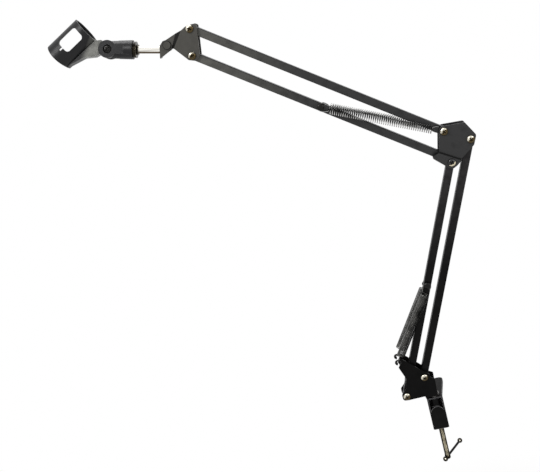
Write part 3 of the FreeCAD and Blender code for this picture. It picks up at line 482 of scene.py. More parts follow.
# The lower arm's shaded copy, with painted light towards its top.
LOWER_PAINT_SHADED = replace(
    HEAD_PAINT_LIT, name="lower_satin_paint_shaded",
    deep=(0.0035, 0.0033, 0.0033), raised=(0.0065, 0.0062, 0.0062), edge=(0.06, 0.055, 0.05),
    grain_depth=0.003 * MM, specular=0.07, lit_tone=(0.056, 0.0535, 0.055), lit_span=(0.19, 0.335),
)
BASE_PAINT_SHADED = replace(
    HEAD_PAINT_LIT, name="base_satin_paint_shaded",
    deep=(0.0020, 0.0019, 0.0018), raised=(0.0040, 0.0038, 0.0037), edge=(0.05, 0.047, 0.042),
    gloss=(0.30, 0.42), grain_depth=0.005 * MM, specular=0.06,
)
# The clamp's corners take a light edge colour that is mostly painted highlight.
CLAMP_PAINT = Finish(
    name="cast_clamp_paint",
    deep=(0.0022, 0.0021, 0.0021), raised=(0.0048, 0.0046, 0.0046), edge=(0.30, 0.295, 0.30),
    rub_and_sheen=2.6, gloss=(0.32, 0.48), metal=0.0, specular=0.075, corner=1.3 * MM,
    grain=Grain.CAST, grain_scale=900.0, grain_depth=0.012 * MM,
)
BLACK_PLASTIC = Finish(
    name="moulded_black_plastic",
    deep=(0.0050, 0.0050, 0.0058), raised=(0.0072, 0.0072, 0.0082), edge=(0.20, 0.20, 0.195),
    rub_and_sheen=0.9, gloss=(0.34, 0.42), metal=0.0, specular=0.27, corner=0.55 * MM,
    grain=Grain.MOULDED, grain_scale=1600.0, grain_depth=0.0006 * MM,
)
# The clip's plastic, with a painted highlight on the neck beyond a sharp line across the piece.
CLIP_PLASTIC_LIT = replace(
    BLACK_PLASTIC, name="clip_plastic_painted_highlight",
    lit_tone=(0.34, 0.34, 0.31), lit_way=(0.74, 0.0, -0.67), lit_span=(-0.6315, -0.6250),
)
SPRING_CHROME = Finish(
    name="spring_chrome", deep=(0.20, 0.20, 0.195), raised=(0.56, 0.555, 0.54), edge=(0.7, 0.7, 0.7),
    rub_and_sheen=0.2, gloss=(0.14, 0.26), metal=1.0, crevice_shade=0.95, corner=0.1 * MM,
    grain=Grain.PLATED, grain_scale=900.0, grain_depth=0.003 * MM,
)
# The spring chrome with painted shade on its upper side and painted highlight below.
TOP_SHADED_CHROME = replace(
    SPRING_CHROME, name="spring_chrome_shaded_top",
    deep=(0.006, 0.006, 0.006), raised=(0.62, 0.615, 0.60), side_shade=0.8,
)
# A shaded copy of the spring chrome for the lower springs, as painted shade, darker still on the side that
# looks along +X.
SHADED_CHROME = replace(
    SPRING_CHROME, name="spring_chrome_shaded",
    deep=(0.014, 0.014, 0.0135), raised=(0.17, 0.168, 0.160), edge=(0.5, 0.5, 0.5), gloss=(0.16, 0.30),
    side_shade=0.25, side_shade_way=(0.96, 0.0, 0.28), side_shade_span=(-0.3, 0.5),
)
# Chrome streaked along the rod, partly drawn marks and partly painted reflection, with painted shade on its
# under side.
ROD_CHROME = Finish(
    name="rod_chrome", deep=(0.085, 0.062, 0.038), raised=(0.93, 0.91, 0.85), edge=(0.90, 0.88, 0.82),
    rub_and_sheen=0.3, gloss=(0.08, 0.14), metal=1.0, streak=60.0, lean=0.174,
    grain=Grain.PLATED, grain_scale=700.0, grain_depth=0.0004 * MM,
    side_shade=0.40, side_shade_way=(-0.174, 0.0, -0.985), side_shade_span=(0.30, 0.62),
)
# Painted highlight on the upper left of each head and painted shade on its lower right.
BOLT_ZINC = Finish(
    name="yellow_bolt_zinc", deep=(0.075, 0.055, 0.025), raised=(0.68, 0.645, 0.54), edge=(0.70, 0.65, 0.52),
    rub_and_sheen=0.4, gloss=(0.16, 0.26), metal=1.0, crevice_shade=1.0, corner=0.2 * MM,
    grain=Grain.PLATED, grain_scale=1400.0, grain_depth=0.002 * MM,
    side_shade=0.45, side_shade_way=(0.45, 0.0, -0.89), side_shade_span=(-0.20, 0.14),
)
# The lug bolt's copy, with painted shade on its upper half and painted highlight below.
LUG_ZINC_SHADED_TOP = replace(
    BOLT_ZINC, name="bolt_zinc_shaded_top",
    deep=(0.045, 0.045, 0.046), raised=(0.85, 0.76, 0.55), edge=(0.40, 0.37, 0.30),
    rub_and_sheen=0.3, gloss=(0.18, 0.28), side_shade=0.6, side_shade_way=(-0.35, 0.0, 0.94), side_shade_span=(-0.16, 0.02),
)
NUT_ZINC = replace(
    SPRING_CHROME, name="grey_nut_zinc",
    deep=(0.07, 0.068, 0.064), raised=(0.15, 0.146, 0.138), edge=(0.6, 0.58, 0.55),
    rub_and_sheen=0.5, gloss=(0.24, 0.40), crevice_shade=0.8, corner=0.25 * MM, grain_scale=1400.0, grain_depth=0.004 * MM,
)
# Painted highlight on the side that faces the camera, painted shade round it.
SCREW_GOLD = replace(
    SPRING_CHROME, name="golden_screw_zinc",
    deep=(0.012, 0.009, 0.004), raised=(0.54, 0.485, 0.35), edge=(0.30, 0.265, 0.19),
    rub_and_sheen=0.5, gloss=(0.18, 0.28), corner=0.15 * MM, grain_scale=1200.0, grain_depth=0.002 * MM,
    side_shade=0.6, side_shade_way=(0.032, 0.855, -0.518), side_shade_span=(-0.97, -0.78),
)
# The balls' copy, with a brighter, smaller painted highlight.
BALL_GOLD = replace(
    SCREW_GOLD, name="golden_ball_zinc", raised=(0.95, 0.91, 0.78), side_shade_span=(-0.975, -0.87),
)
INSERT_BRASS = Finish(
    name="dulled_insert_brass",
    deep=(0.006, 0.0055, 0.005), raised=(0.030, 0.026, 0.018), edge=(0.75, 0.68, 0.50),
    rub_and_sheen=1.4, gloss=(0.16, 0.30), metal=1.0, crevice_shade=0.9, corner=0.5 * MM,
    grain=Grain.DRAWN, grain_scale=900.0, grain_depth=0.002 * MM,
)
DARK_STEEL = Finish(
    name="oiled_dark_steel",
    deep=(0.006, 0.006, 0.006), raised=(0.016, 0.015, 0.014), edge=(0.16, 0.15, 0.135),
    rub_and_sheen=0.5, gloss=(0.20, 0.34), metal=0.6, specular=0.3,
    grain=Grain.DRAWN, grain_scale=1100.0, grain_depth=0.003 * MM,
)
BAR_BLACK = replace(
    DARK_STEEL, name="blackened_bar_steel",
    deep=(0.002, 0.002, 0.0018), raised=(0.005, 0.0048, 0.0045), metal=0.0, specular=0.12,
)
BUSH_NYLON = Finish(
    name="bush_nylon", deep=(0.012, 0.012, 0.012), raised=(0.024, 0.024, 0.023), edge=(0.06, 0.06, 0.06),
    rub_and_sheen=0.3, gloss=(0.40, 0.55), metal=0.0, specular=0.2,
    grain=Grain.MOULDED, grain_scale=1800.0, grain_depth=0.004 * MM,
)


def dress(finish: Finish, *names: str) -> list[str]:
    """Gives CAD nodes a finish.

    Args:
        finish: the finish they take.
        *names: names of the nodes.

    Returns:
        The names.
    """
    for name in names:
        node = frame["nodes"][name]
        node.data.materials.clear()
        node.data.materials.append(finish.material())
    return list(names)


def recoat(mesh: bpy.types.Mesh, faces: list[bpy.types.MeshPolygon], finish: Finish) -> None:
    """Gives some faces of a dressed mesh a further finish.

    Args:
        mesh: the mesh.
        faces: the faces that take it.
        finish: the finish they take.
    """
    mesh.materials.append(finish.material())
    for face in faces:
        face.material_index = len(mesh.materials) - 1


def piece(name: str, shape: Shape, finish: Finish) -> bpy.types.Object:
    """Turns a built shape into a dressed piece.

    Args:
        name: name of the piece.
        shape: its shape, in metres in the part's frame; it is used up.
        finish: the finish it takes.

    Returns:
        The new object.
    """
    bmesh.ops.recalc_face_normals(shape, faces=shape.faces)
    mesh = bpy.data.meshes.new(name)
    shape.to_mesh(mesh)
    shape.free()
    mesh.shade_smooth()
    mesh.set_sharp_from_angle(angle=SMOOTH_ANGLE)
    mesh.materials.append(finish.material())
    made = bpy.data.objects.new(name, mesh)
    bpy.context.scene.collection.objects.link(made)
    return made


def facing(origin: Vector, outward: Vector, turn: float = 0.0) -> Matrix:
    """A frame whose Z looks outward from a point.

    Args:
        origin: where the frame stands.
        outward: the way its Z looks.
        turn: how far it is turned about Z.

    Returns:
        The frame's matrix.
    """
    spin = Matrix.Rotation(turn, 4, "Z")
    return Matrix.Translation(origin) @ outward.to_track_quat("Z", "Y").to_matrix().to_4x4() @ spin


def ring_angles(steps: int) -> list[float]:
    """Angles of evenly spread points on a ring.

    Args:
        steps: how many points.

    Returns:
        The angles.
    """
    return [FULL_TURN * step / steps for step in range(steps)]


def skinned(shape: Shape, rings: list[list[bmesh.types.BMVert]]) -> None:
    """Joins each ring of points to the next with faces.

    Args:
        shape: the shape that holds the points.
        rings: rings with equally many points; a ring may repeat one point.
    """
    for low, high in zip(rings, rings[1:]):
        for step in range(len(low)):
            after = (step + 1) % len(low)
            corners = []
            for corner in (low[step], low[after], high[after], high[step]):
                if corner not in corners:
                    corners.append(corner)
            if len(corners) > 2:
                shape.faces.new(corners)


def turned(shape: Shape, profile: Outline, place: Matrix, steps: int = 40) -> None:
    """Adds a turned solid.

    Args:
        shape: the shape it is added to.
        profile: radius and height pairs from one end of the axis to the other.
        place: the frame whose Z is the axis.
        steps: facets round the axis.
    """
    rings = []
    for radius, height in profile:
        if radius <= 0.0:
            rings.append([shape.verts.new(place @ Vector((0.0, 0.0, height)))] * steps)
            continue
        spots = [Vector((radius * math.cos(a), radius * math.sin(a), height)) for a in ring_angles(steps)]
        rings.append([shape.verts.new(place @ spot) for spot in spots])
    skinned(shape, rings)


def swept(shape: Shape, path: list[Vector], radius: float, sides: int = 8) -> None:
    """Adds a round wire along a path, with rounded ends.

    Args:
        shape: the shape it is added to.
        path: points along the wire.
        radius: radius of the wire.
        sides: facets round the wire.
    """
    last = len(path) - 1
    ways = [(path[min(i + 1, last)] - path[max(i - 1, 0)]).normalized() for i in range(len(path))]
    up = ways[0].orthogonal().normalized()
    rings = []
    for index, (spot, way) in enumerate(zip(path, ways)):
        up = (up - way * up.dot(way)).normalized()
        side = way.cross(up)
        reach = radius * WIRE_END_SHARE if index in (0, last) else radius
        ring = [spot + (up * math.cos(a) + side * math.sin(a)) * reach for a in ring_angles(sides)]
        rings.append([shape.verts.new(corner) for corner in ring])
    skinned(shape, rings)
    shape.faces.new(reversed(rings[0]))
    shape.faces.new(rings[-1])


def eased(start: Vector, start_way: Vector, end: Vector, end_way: Vector, steps: int = 10) -> list[Vector]:
    """Points of a smooth bend between two runs of wire.

    Args:
        start: where the bend starts.
        start_way: the way the wire runs there.
        end: where the bend ends.
        end_way: the way the wire runs there.
        steps: points on the bend.

    Returns:
        The points, without the two ends.
    """
    pull = (end - start).length
    points = []
    for step in range(1, steps):
        t = step / steps
        points.append(
            start * (2 * t**3 - 3 * t**2 + 1) + start_way * (pull * (t**3 - 2 * t**2 + t))
            + end * (3 * t**2 - 2 * t**3) + end_way * (pull * (t**3 - t**2))
        )
    return points


def bow(centre: Vector, first: Vector, over: Vector, sweep: float, steps: int = 14) -> list[Vector]:
    """Points of a round bend.

    Args:
        centre: centre of the bend.
        first: from the centre to the first point.
        over: from the centre to the point a quarter turn on.
        sweep: how far the bend goes.
        steps: steps along it.

    Returns:
        The points, both ends included.
    """
    angles = [sweep * step / steps for step in range(steps + 1)]
    return [centre + first * math.cos(a) + over * math.sin(a) for a in angles]


@dataclass
class PanHeadBolt:
    """A domed bolt with a cross cut in its head and a threaded tail.

    Args:
        seat: point under the head, on the bolt's axis.
        outward: the way the head looks.
        turn: how far the cross is turned.
        length: from the seat to the end of the tail.
        radius: radius of the shank.
        head_radius: radius of the head.
        head_height: height of the head.
        head_foot: share of the head's radius on its seat.
        foot_rise: share of the head's height where it is widest.
        dome_foot: share of the head's height where the dome starts.
        dome_power: how full the dome is; less is fuller.
        dome_steps: steps up the dome.
        thread_pitch: height of one turn of thread.
        thread_depth: depth of the thread.
        thread_share: threaded share of the length.
        cross_reach: length of the cross's arms, as a share of the head's radius.
        cross_width: half their width, as a share of it too.
        cross_top: where the cutter starts, as a share of the head's height.
        cross_depth: how deep it goes, as a share of the height.
        cross_taper: share of its length that is left at the bottom.
    """

    seat: Vector
    outward: Vector
    turn: float
    length: float
    radius: float = 2.5 * MM
    head_radius: float = 4.9 * MM
    head_height: float = 2.8 * MM
    head_foot: float = 0.96
    foot_rise: float = 0.08
    dome_foot: float = 0.3
    dome_power: float = 0.8
    dome_steps: int = 8
    thread_pitch: float = 0.8 * MM
    thread_depth: float = 0.4 * MM
    thread_share: float = 0.28
    cross_reach: float = 0.66
    cross_width: float = 0.17
    cross_top: float = 1.2
    cross_depth: float = 0.62
    cross_taper: float = 0.62

    def profile(self) -> Outline:
        """Outline of the bolt from the tip of its tail to the top of its dome.

        Returns:
            Radius and height pairs.
        """
        low, core, step_up = -self.length, self.radius - self.thread_depth, 0.5 * self.thread_pitch
        points = [(0.0, low), (core, low)]
        for turn in range(int(self.length * self.thread_share / self.thread_pitch)):
            crest = low + (turn + 0.5) * self.thread_pitch
            points += [(self.radius, crest), (core, crest + step_up)]
        points += [
            (self.radius, points[-1][1] + step_up), (self.radius, 0.0),
            (self.head_radius * self.head_foot, 0.0), (self.head_radius, self.head_height * self.foot_rise),
        ]
        rim = self.head_height * self.dome_foot
        for step in range(self.dome_steps):
            angle = math.pi / 2 * step / self.dome_steps
            reach = self.head_radius * math.cos(angle) ** self.dome_power
            points.append((reach, rim + (self.head_height - rim) * math.sin(angle)))
        points.append((0.0, self.head_height))
        return points

    def build(self, body: Shape, cutter: Shape) -> None:
        """Adds the bolt to one shape and its cross to another.

        Args:
            body: shape that takes the bolt.
            cutter: shape that takes the cross.
        """
        place = facing(self.seat, self.outward, self.turn)
        turned(body, self.profile(), place)
        top = self.head_height * self.cross_top
        low = self.head_height * (1.0 - self.cross_depth)
        rings = []
        for share, height in ((1.0, top), (self.cross_taper, low)):
            far = self.head_radius * self.cross_reach * share
            near = self.head_radius * self.cross_width * (0.5 + 0.5 * share)
            outline = (
                (near, near), (far, near), (far, -near), (near, -near), (near, -far), (-near, -far),
                (-near, -near), (-far, -near), (-far, near), (-near, near), (-near, far), (near, far),
            )
            rings.append([cutter.verts.new(place @ Vector((x, y, height))) for x, y in outline])
        skinned(cutter, rings)
        cutter.faces.new(rings[0])
        cutter.faces.new(reversed(rings[1]))


def bolted(name: str, node: str, body: str, bolts: list[PanHeadBolt], finish: Finish) -> bpy.types.Object:
    """Makes a set of bolts that stands for a CAD node.

    Args:
        name: name of the piece.
        node: the CAD node it stands for.
        body: the body it rides.
        bolts: the bolts of the set.
        finish: the finish they take.

    Returns:
        The piece.
    """
    shape, crosses = bmesh.new(), bmesh.new()
    for bolt in bolts:
        bolt.build(shape, crosses)
    made = piece(name, shape, finish)
    cutter = piece(name + "_crosses", crosses, finish)
    cut = made.modifiers.new("cross_cut", "BOOLEAN")
    cut.operation = "DIFFERENCE"
    cut.solver = "EXACT"
    cut.object = cutter
    bpy.context.view_layer.update()
    result = bpy.data.meshes.new_from_object(made.evaluated_get(bpy.context.evaluated_depsgraph_get()))
    made.modifiers.clear()
    made.data = result
    result.name = name
    bpy.data.objects.remove(cutter)
    result.set_sharp_from_angle(angle=SMOOTH_ANGLE)
    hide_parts(node)
    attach(made, body)
    return made


def across_bolts(
    stations: list[tuple[Vector, float]], turns: tuple[float, ...], tail: float,
) -> list[PanHeadBolt]:
    """Bolts that run across the arm, with their heads at the front.

    Args:
        stations: each bolt's pivot and half the width it clamps.
        turns: how far each cross is turned.
        tail: how far each bolt stands out at the rear.

    Returns:
        The bolts.
    """
    bolts = []
    for (pivot, half), turn in zip(stations, turns):
        bolts.append(PanHeadBolt(pivot - ACROSS * half, -ACROSS, turn, 2.0 * half + tail))
    return bolts


class Side(Enum):
    """Which side of the arm a piece is on, seen from the front."""

    FRONT = "front"
    REAR = "rear"


class Ending(Enum):
    """How a spring is held at its far end."""

    HAIRPIN = "hairpin"
    EYE = "eye"


class Place(Enum):
    """Which of the two arms it is, as its nodes are named."""

    LOWER = "lower"
    UPPER = "upper"


@dataclass
class TensionSpring:
    """A wound spring with a full-size loop on its pin and a loop or a hairpin at its far end.

    Args:
        pin: centre of the pin in the arm's middle plane.
        hold: centre of what holds the far end, in the same plane.
        side: the side of the arm it is on.
        ending: how its far end is held.
        turns: turns of the coil.
        finish: its plating.
        wire: thickness of the wire.
        coil: radius of the coil, to the middle of the wire.
        loop_level: how far out from the middle plane the loops stand.
        loop: radius of the loops, to the middle of the wire.
        loop_start: how far back and aside of the loop's centre its free end lies, as shares of its radius.
        loop_more: how far the loop goes beyond half a turn.
        loop_steps: steps round the loop.
        pin_radius: radius of the pin.
        hold_radius: radius of the bolt in the far loop.
        lead: from the pin to the coil.
        hairpin_level: how far out the hairpin stands.
        hairpin_lead: from the coil to the hairpin's seat.
        hairpin_half: half the width of the hairpin.
        hairpin_rise: share of its lead that is straight.
        hairpin_tail: length of its free leg.
        eye_lead: from the coil to the bolt.
        steps_per_turn: points on each turn of the coil.
    """

    pin: Vector
    hold: Vector
    side: Side
    ending: Ending
    turns: int
    finish: Finish
    wire: float = 1.2 * MM
    coil: float = 5.1 * MM
    loop_level: float = 6.1 * MM
    loop: float = 4.9 * MM
    loop_start: Pair = (0.6, 0.8)
    loop_more: float = 0.65
    loop_steps: int = 20
    pin_radius: float = 2.2 * MM
    hold_radius: float = 2.9 * MM
    lead: float = 11.5 * MM
    hairpin_level: float = 9.75 * MM
    hairpin_lead: float = 11.0 * MM
    hairpin_half: float = 1.75 * MM
    hairpin_rise: float = 0.45
    hairpin_tail: float = 5.0 * MM
    eye_lead: float = 15.5 * MM
    steps_per_turn: int = 16

    @property
    def outward(self) -> Vector:
        """The way from the arm's middle plane to the spring."""
        return ACROSS * (-1.0 if self.side is Side.FRONT else 1.0)

    @property
    def axis(self) -> Vector:
        """The way from the pin to the far end."""
        return (self.hold - self.pin).normalized()

    @property
    def across(self) -> Vector:
        """The way across the spring, in the plane of its loops."""
        return self.axis.cross(-self.outward)

    def looped(self, seat: Vector, away: Vector, held: float) -> list[Vector]:
        """Points of an end loop, from its free end round the far side to the run that meets the coil.

        Args:
            seat: centre of what it hangs on, in the arm's middle plane.
            away: the way from the coil to the loop.
            held: radius of what it hangs on.

        Returns:
            The points.
        """
        bear = self.loop - self.wire / 2 - held
        centre = seat + self.outward * self.loop_level - away * bear
        back, aside = self.loop_start
        far, free = away * self.loop, self.across * self.loop
        sweep = math.pi + self.loop_more
        return bow(centre, free * aside - far * back, far * aside + free * back, sweep, self.loop_steps)

    def wound(self, first: Vector, last: Vector) -> list[Vector]:
        """Points of the coil.

        Args:
            first: where it starts on its axis.
            last: where it ends on its axis.

        Returns:
            The points.
        """
        inward, across = -self.outward, self.across
        count = self.turns * self.steps_per_turn
        points = []
        for step in range(count + 1):
            angle = FULL_TURN * step / self.steps_per_turn
            centre = first.lerp(last, step / count)
            points.append(centre + (inward * math.cos(angle) + across * math.sin(angle)) * self.coil)
        return points

    def hairpin(self, start: Vector) -> list[Vector]:
        """Points of the hairpin at the far end.

        Args:
            start: where the coil ends.

        Returns:
            The points after it.
        """
        inward, axis = -self.outward * self.hairpin_half, self.axis
        bend = self.hold + self.outward * self.hairpin_level - axis * self.hairpin_half
        rise = bend + inward - axis * (self.hairpin_lead * self.hairpin_rise)
        points = eased(start, self.across, rise, axis) + [rise]
        points += bow(bend, inward, axis * self.hairpin_half, math.pi)
        points.append(points[-1] - axis * self.hairpin_tail)
        return points

    def eye(self, start: Vector) -> list[Vector]:
        """Points of the loop at the far end, which is the pin's loop the other way round.

        Args:
            start: where the coil ends.

        Returns:
            The points after it.
        """
        across = self.across
        loop = self.looped(self.hold, self.axis, self.hold_radius)
        loop = [spot - across * (2.0 * (spot - self.hold).dot(across)) for spot in loop][::-1]
        return eased(start, across, loop[0], self.axis) + loop

    def build(self, node: str, pin_body: str, hold_body: str) -> bpy.types.Object:
        """Winds the spring from the pin to its far end, as they stand.

        Args:
            node: the CAD node it stands for.
            pin_body: not used.
            hold_body: not used.

        Returns:
            The piece.
        """
        hooked = self.ending is Ending.HAIRPIN
        reach = self.outward * (self.loop_level + self.coil)
        first = self.pin + reach + self.axis * self.lead
        last = self.hold + reach - self.axis * (self.hairpin_lead if hooked else self.eye_lead)
        points = self.looped(self.pin, -self.axis, self.pin_radius)
        points += eased(points[-1], self.axis, first - self.outward * self.coil, self.across)
        points += self.wound(first, last)
        points += self.hairpin(points[-1]) if hooked else self.eye(points[-1])
        shape = bmesh.new()
        swept(shape, points, self.wire / 2)
        made = piece(node + "_wound", shape, self.finish)
        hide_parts(node)
        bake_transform(made)
        return made


class Assembly(ABC):
    """One sub-assembly of the scene."""

    @abstractmethod
    def build(self) -> list[str]:
        """Makes and dresses its pieces, and returns their names."""


@dataclass
class TableClamp(Assembly):
    """The cast clamp with its pad, threaded screw and sliding tee bar.

    Args:
        thread_radius: outer radius of the screw's thread.
        thread_depth: depth of the thread.
        thread_pitch: height of one turn of thread.
        tip_radius: radius of the plain tip.
        tip_length: length of the plain tip.
        tip_bevel: height of the slope between thread and tip.
        head_radius: radius of the screw's head.
        head_height: height of the head.
        head_foot: shares of the head's radius, and how far above its lower end each is reached.
        head_shoulder: how far below the thread the head's shoulder starts.
        head_neck: share of the head's radius that is left at the thread.
        flat_half: half the distance between the head's flats.
        bar_turn: the way the tee bar runs, from the X axis.
        steps: facets round the screw.
        rows_per_turn: rows of points on each turn of thread.
    """

    thread_radius: float = 3.85 * MM
    thread_depth: float = 0.5 * MM
    thread_pitch: float = 1.5 * MM
    tip_radius: float = 2.0 * MM
    tip_length: float = 5.0 * MM
    tip_bevel: float = 0.5 * MM
    head_radius: float = 4.2 * MM
    head_height: float = 6.0 * MM
    head_foot: tuple[Pair, ...] = ((0.6, 0.0), (0.92, 0.5 * MM), (1.0, 1.2 * MM))
    head_shoulder: float = 0.8 * MM
    head_neck: float = 0.9
    flat_half: float = 3.6 * MM
    bar_turn: float = math.radians(57.0)
    steps: int = 24
    rows_per_turn: int = 6

    def build(self) -> list[str]:
        """Makes the clamp's looks.

        Returns:
            The names of its pieces.
        """
        names = dress(CLAMP_PAINT, "clamp_body") + dress(DARK_STEEL, "pressure_pad")
        names += dress(BAR_BLACK, "tee_bar") + dress(BALL_GOLD, "tee_bar_balls")
        return names + [self.cut_screw().name]

    def cut_screw(self) -> bpy.types.Object:
        """Cuts the screw: a thread between a plain tip and a head, which has flats where the balls come.

        Returns:
            The screw.
        """
        low, high = (Vector(corner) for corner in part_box("clamp_screw"))
        axis = Vector(((low.x + high.x) / 2, (low.y + high.y) / 2, 0.0))
        start, end = low.z + self.head_height, high.z - self.tip_length
        core, tip, head = self.thread_radius - self.thread_depth, self.tip_radius, self.head_radius
        shape = bmesh.new()
        self.cut_thread(shape, axis, start, end)
        top = [(core, end), (tip, end + self.tip_bevel), (tip, high.z), (0.0, high.z)]
        turned(shape, top, Matrix.Translation(axis), self.steps)
        cap = [(0.0, low.z)] + [(head * share, low.z + rise) for share, rise in self.head_foot]
        cap += [(head, start - self.head_shoulder), (head * self.head_neck, start), (core, start)]
        turned(shape, cap, Matrix.Translation(axis), self.steps)
        bar = Vector((math.cos(self.bar_turn), math.sin(self.bar_turn), 0.0))
        for vert in shape.verts:
            if vert.co.z < start:
                beyond = (vert.co - axis).dot(bar)
                vert.co -= bar * (beyond - max(-self.flat_half, min(self.flat_half, beyond)))
        made = piece("clamp_screw_threaded", shape, SCREW_GOLD)
        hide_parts("clamp_screw")
        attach(made, "screw")
        return made

    def cut_thread(self, shape: Shape, axis: Vector, start: float, end: float) -> None:
        """Adds the thread, which runs out at its upper end.

        Args:
            shape: the shape it is added to.
            axis: a point on the screw's axis, at height 0.
            start: height of the thread's lower end.
            end: height of its upper end.
        """
        rows = int((end - start) / self.thread_pitch * self.rows_per_turn)
        rings = []
        for row in range(rows + 1):
            height = start + (end - start) * row / rows
            left = min(1.0, (end - height) / self.thread_pitch)
            ring = []
            for step, angle in enumerate(ring_angles(self.steps)):
                phase = ((height - start) / self.thread_pitch - step / self.steps) % 1.0
                depth = self.thread_depth * (1.0 - abs(2.0 * phase - 1.0)) + (1.0 - left) * self.thread_depth
                radius = self.thread_radius - min(depth, self.thread_depth)
                spot = axis + Vector((radius * math.cos(angle), radius * math.sin(angle), height))
                ring.append(shape.verts.new(spot))
            rings.append(ring)
        skinned(shape, rings)


@dataclass
class SwivelBase(Assembly):
    """The folded bracket on its post, with two bolts and two spring hooks.

    Args:
        half: half the width of the bracket.
        sheet: thickness of its sheet.
        cross_turns: how far the bolts' crosses are turned.
        hook_place: middle of the hooks, from the lower arm's pivot.
        hook_radius: outer radius of a hook.
        hook_span: angles between which a hook's lip runs.
        hook_seat: how far from the hooks' middle the hairpins sit.
        eye_shift: how far from the hooks' middle the eye lies.
        eye_radius: radius of the eye.
        lip_proud: how far a lip stands out of the sheet.
        lip_steps: steps round a lip.
    """

    half: float = 10.5 * MM
    sheet: float = 1.5 * MM
    cross_turns: Pair = (0.30, 1.05)
    hook_place: Triple = (-1.6 * MM, 0.0, 52.5 * MM)
    hook_radius: float = 3.75 * MM
    hook_span: Pair = (0.35, 4.55)
    hook_seat: float = 1.3 * MM
    eye_shift: float = 1.0 * MM
    eye_radius: float = 1.3 * MM
    lip_proud: float = 0.12 * MM
    lip_steps: int = 36

    def build(self) -> list[str]:
        """Makes the base's looks.

        Returns:
            The names of its pieces.
        """
        names = dress(BASE_PAINT_SHADED, "base_bracket") + dress(NUT_ZINC, "base_nuts", "base_post")
        names += dress(BUSH_NYLON, "base_bushes")
        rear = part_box("base_bolts")[1][1]
        bolts = []
        for pivot, turn in zip(("lower_arm", "lower_link_turn"), self.cross_turns):
            seat = PIVOTS[pivot] - ACROSS * self.half
            bolts.append(PanHeadBolt(seat, -ACROSS, turn, rear - seat.y))
        made = bolted("base_bolts_crossed", "base_bolts", "base", bolts, BOLT_ZINC)
        return names + [made.name, self.thicken_hooks().name]

    def hook_point(self, shift: float) -> Vector:
        """A point at that distance from the hooks' middle, on the way to the springs' pin."""
        hook = PIVOTS["lower_arm"] + Vector(self.hook_place)
        return hook + (PIVOTS["lower_spring_swing"] - hook).normalized() * shift

    def thicken_hooks(self) -> bpy.types.Object:
        """Forms a fuller lip on each spring hook, round an eye that clears the hairpin.

        Returns:
            The two lips.
        """
        hook, eye = self.hook_point(0.0), self.hook_point(self.eye_shift)
        start, end = self.hook_span
        shape = bmesh.new()
        for side in (-1.0, 1.0):
            near = ACROSS * (side * (self.half - self.sheet - self.lip_proud))
            far = ACROSS * (side * (self.half + self.lip_proud))
            rings = []
            for step in range(self.lip_steps + 1):
                angle = start + (end - start) * step / self.lip_steps
                way = Vector((math.cos(angle), 0.0, math.sin(angle)))
                inner, outer = eye + way * self.eye_radius, hook + way * self.hook_radius
                corners = (inner + near, outer + near, outer + far, inner + far)
                rings.append([shape.verts.new(corner) for corner in corners])
            skinned(shape, rings)
            shape.faces.new(rings[0])
            shape.faces.new(rings[-1])
        made = piece("base_hook_lips", shape, BASE_PAINT_SHADED)
        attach(made, "base")
        return made


@dataclass
class SprungArm(Assembly):
    """A parallelogram arm: main tube, link tube, spring pin and two springs.

    Args:
        place: which of the arms it is.
        hold: what holds the springs' far ends.
        ending: how they are held there.
        turns: turns of each coil.
        paint: the tubes' copy of the arm's one paint, lit or shaded by where they stand.
        front_plating: the front spring's copy of the chrome, with its painted light and shade.
        rear_plating: the rear spring's copy of the chrome, with its painted light and shade.
        pin_radius: radius of the pin.
        pin_head: radius of its heads.
        head_low: how far out from the middle plane a head starts.
        head_high: how far out it ends.
        head_foot: share of the head's radius on its inner face.
        foot_bevel: height of the bevel there.
        rim_share: share of the head's height that is its rim.
        shoulder: share of the radius, and of the dome's height, halfway up the dome.
        crown: share of the radius near the top, and how far below the top that is.
    """

    place: Place
    hold: Vector
    ending: Ending
    turns: int
    paint: Finish
    front_plating: Finish
    rear_plating: Finish
    pin_radius: float = 2.2 * MM
    pin_head: float = 4.5 * MM
    head_low: float = 7.8 * MM
    head_high: float = 9.6 * MM
    head_foot: float = 0.95
    foot_bevel: float = 0.2 * MM
    rim_share: float = 0.4
    shoulder: Pair = (0.9, 0.5)
    crown: Pair = (0.55, 0.1 * MM)

    def named(self, what: str) -> str:
        """Name of one of this arm's nodes, joints or bodies."""
        return f"{self.place.value}_{what}"

    def build(self) -> list[str]:
        """Makes the arm's looks.

        Returns:
            The names of its pieces.
        """
        names = dress(self.paint, self.named("main_tube"), self.named("link_tube"))
        names.append(self.turn_pin().name)
        pin = PIVOTS[self.named("spring_swing")]
        for side, plating in ((Side.FRONT, self.front_plating), (Side.REAR, self.rear_plating)):
            spring = TensionSpring(pin, self.hold, side, self.ending, self.turns, plating)
            node = self.named(f"spring_{side.value}")
            names.append(spring.build(node, self.named("pin"), self.named("springs")).name)
        return names

    def turn_pin(self) -> bpy.types.Object:
        """Turns the spring pin, with a wide domed head outside each loop.

        Returns:
            The pin.
        """
        node = self.named("spring_pin")
        head, low, high = self.pin_head, self.head_low, self.head_high
        rim = low + (high - low) * self.rim_share
        half = [
            (self.pin_radius, low), (head * self.head_foot, low), (head, low + self.foot_bevel), (head, rim),
            (head * self.shoulder[0], rim + self.shoulder[1] * (high - rim)),
            (head * self.crown[0], high - self.crown[1]), (0.0, high),
        ]
        profile = [(radius, -height) for radius, height in reversed(half)] + half
        shape = bmesh.new()
        turned(shape, profile, facing(PIVOTS[self.named("spring_swing")], -ACROSS))
        made = piece(node + "_turned", shape, DARK_STEEL)
        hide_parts(node)
        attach(made, frame["nodes"][node]["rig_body"])
        return made


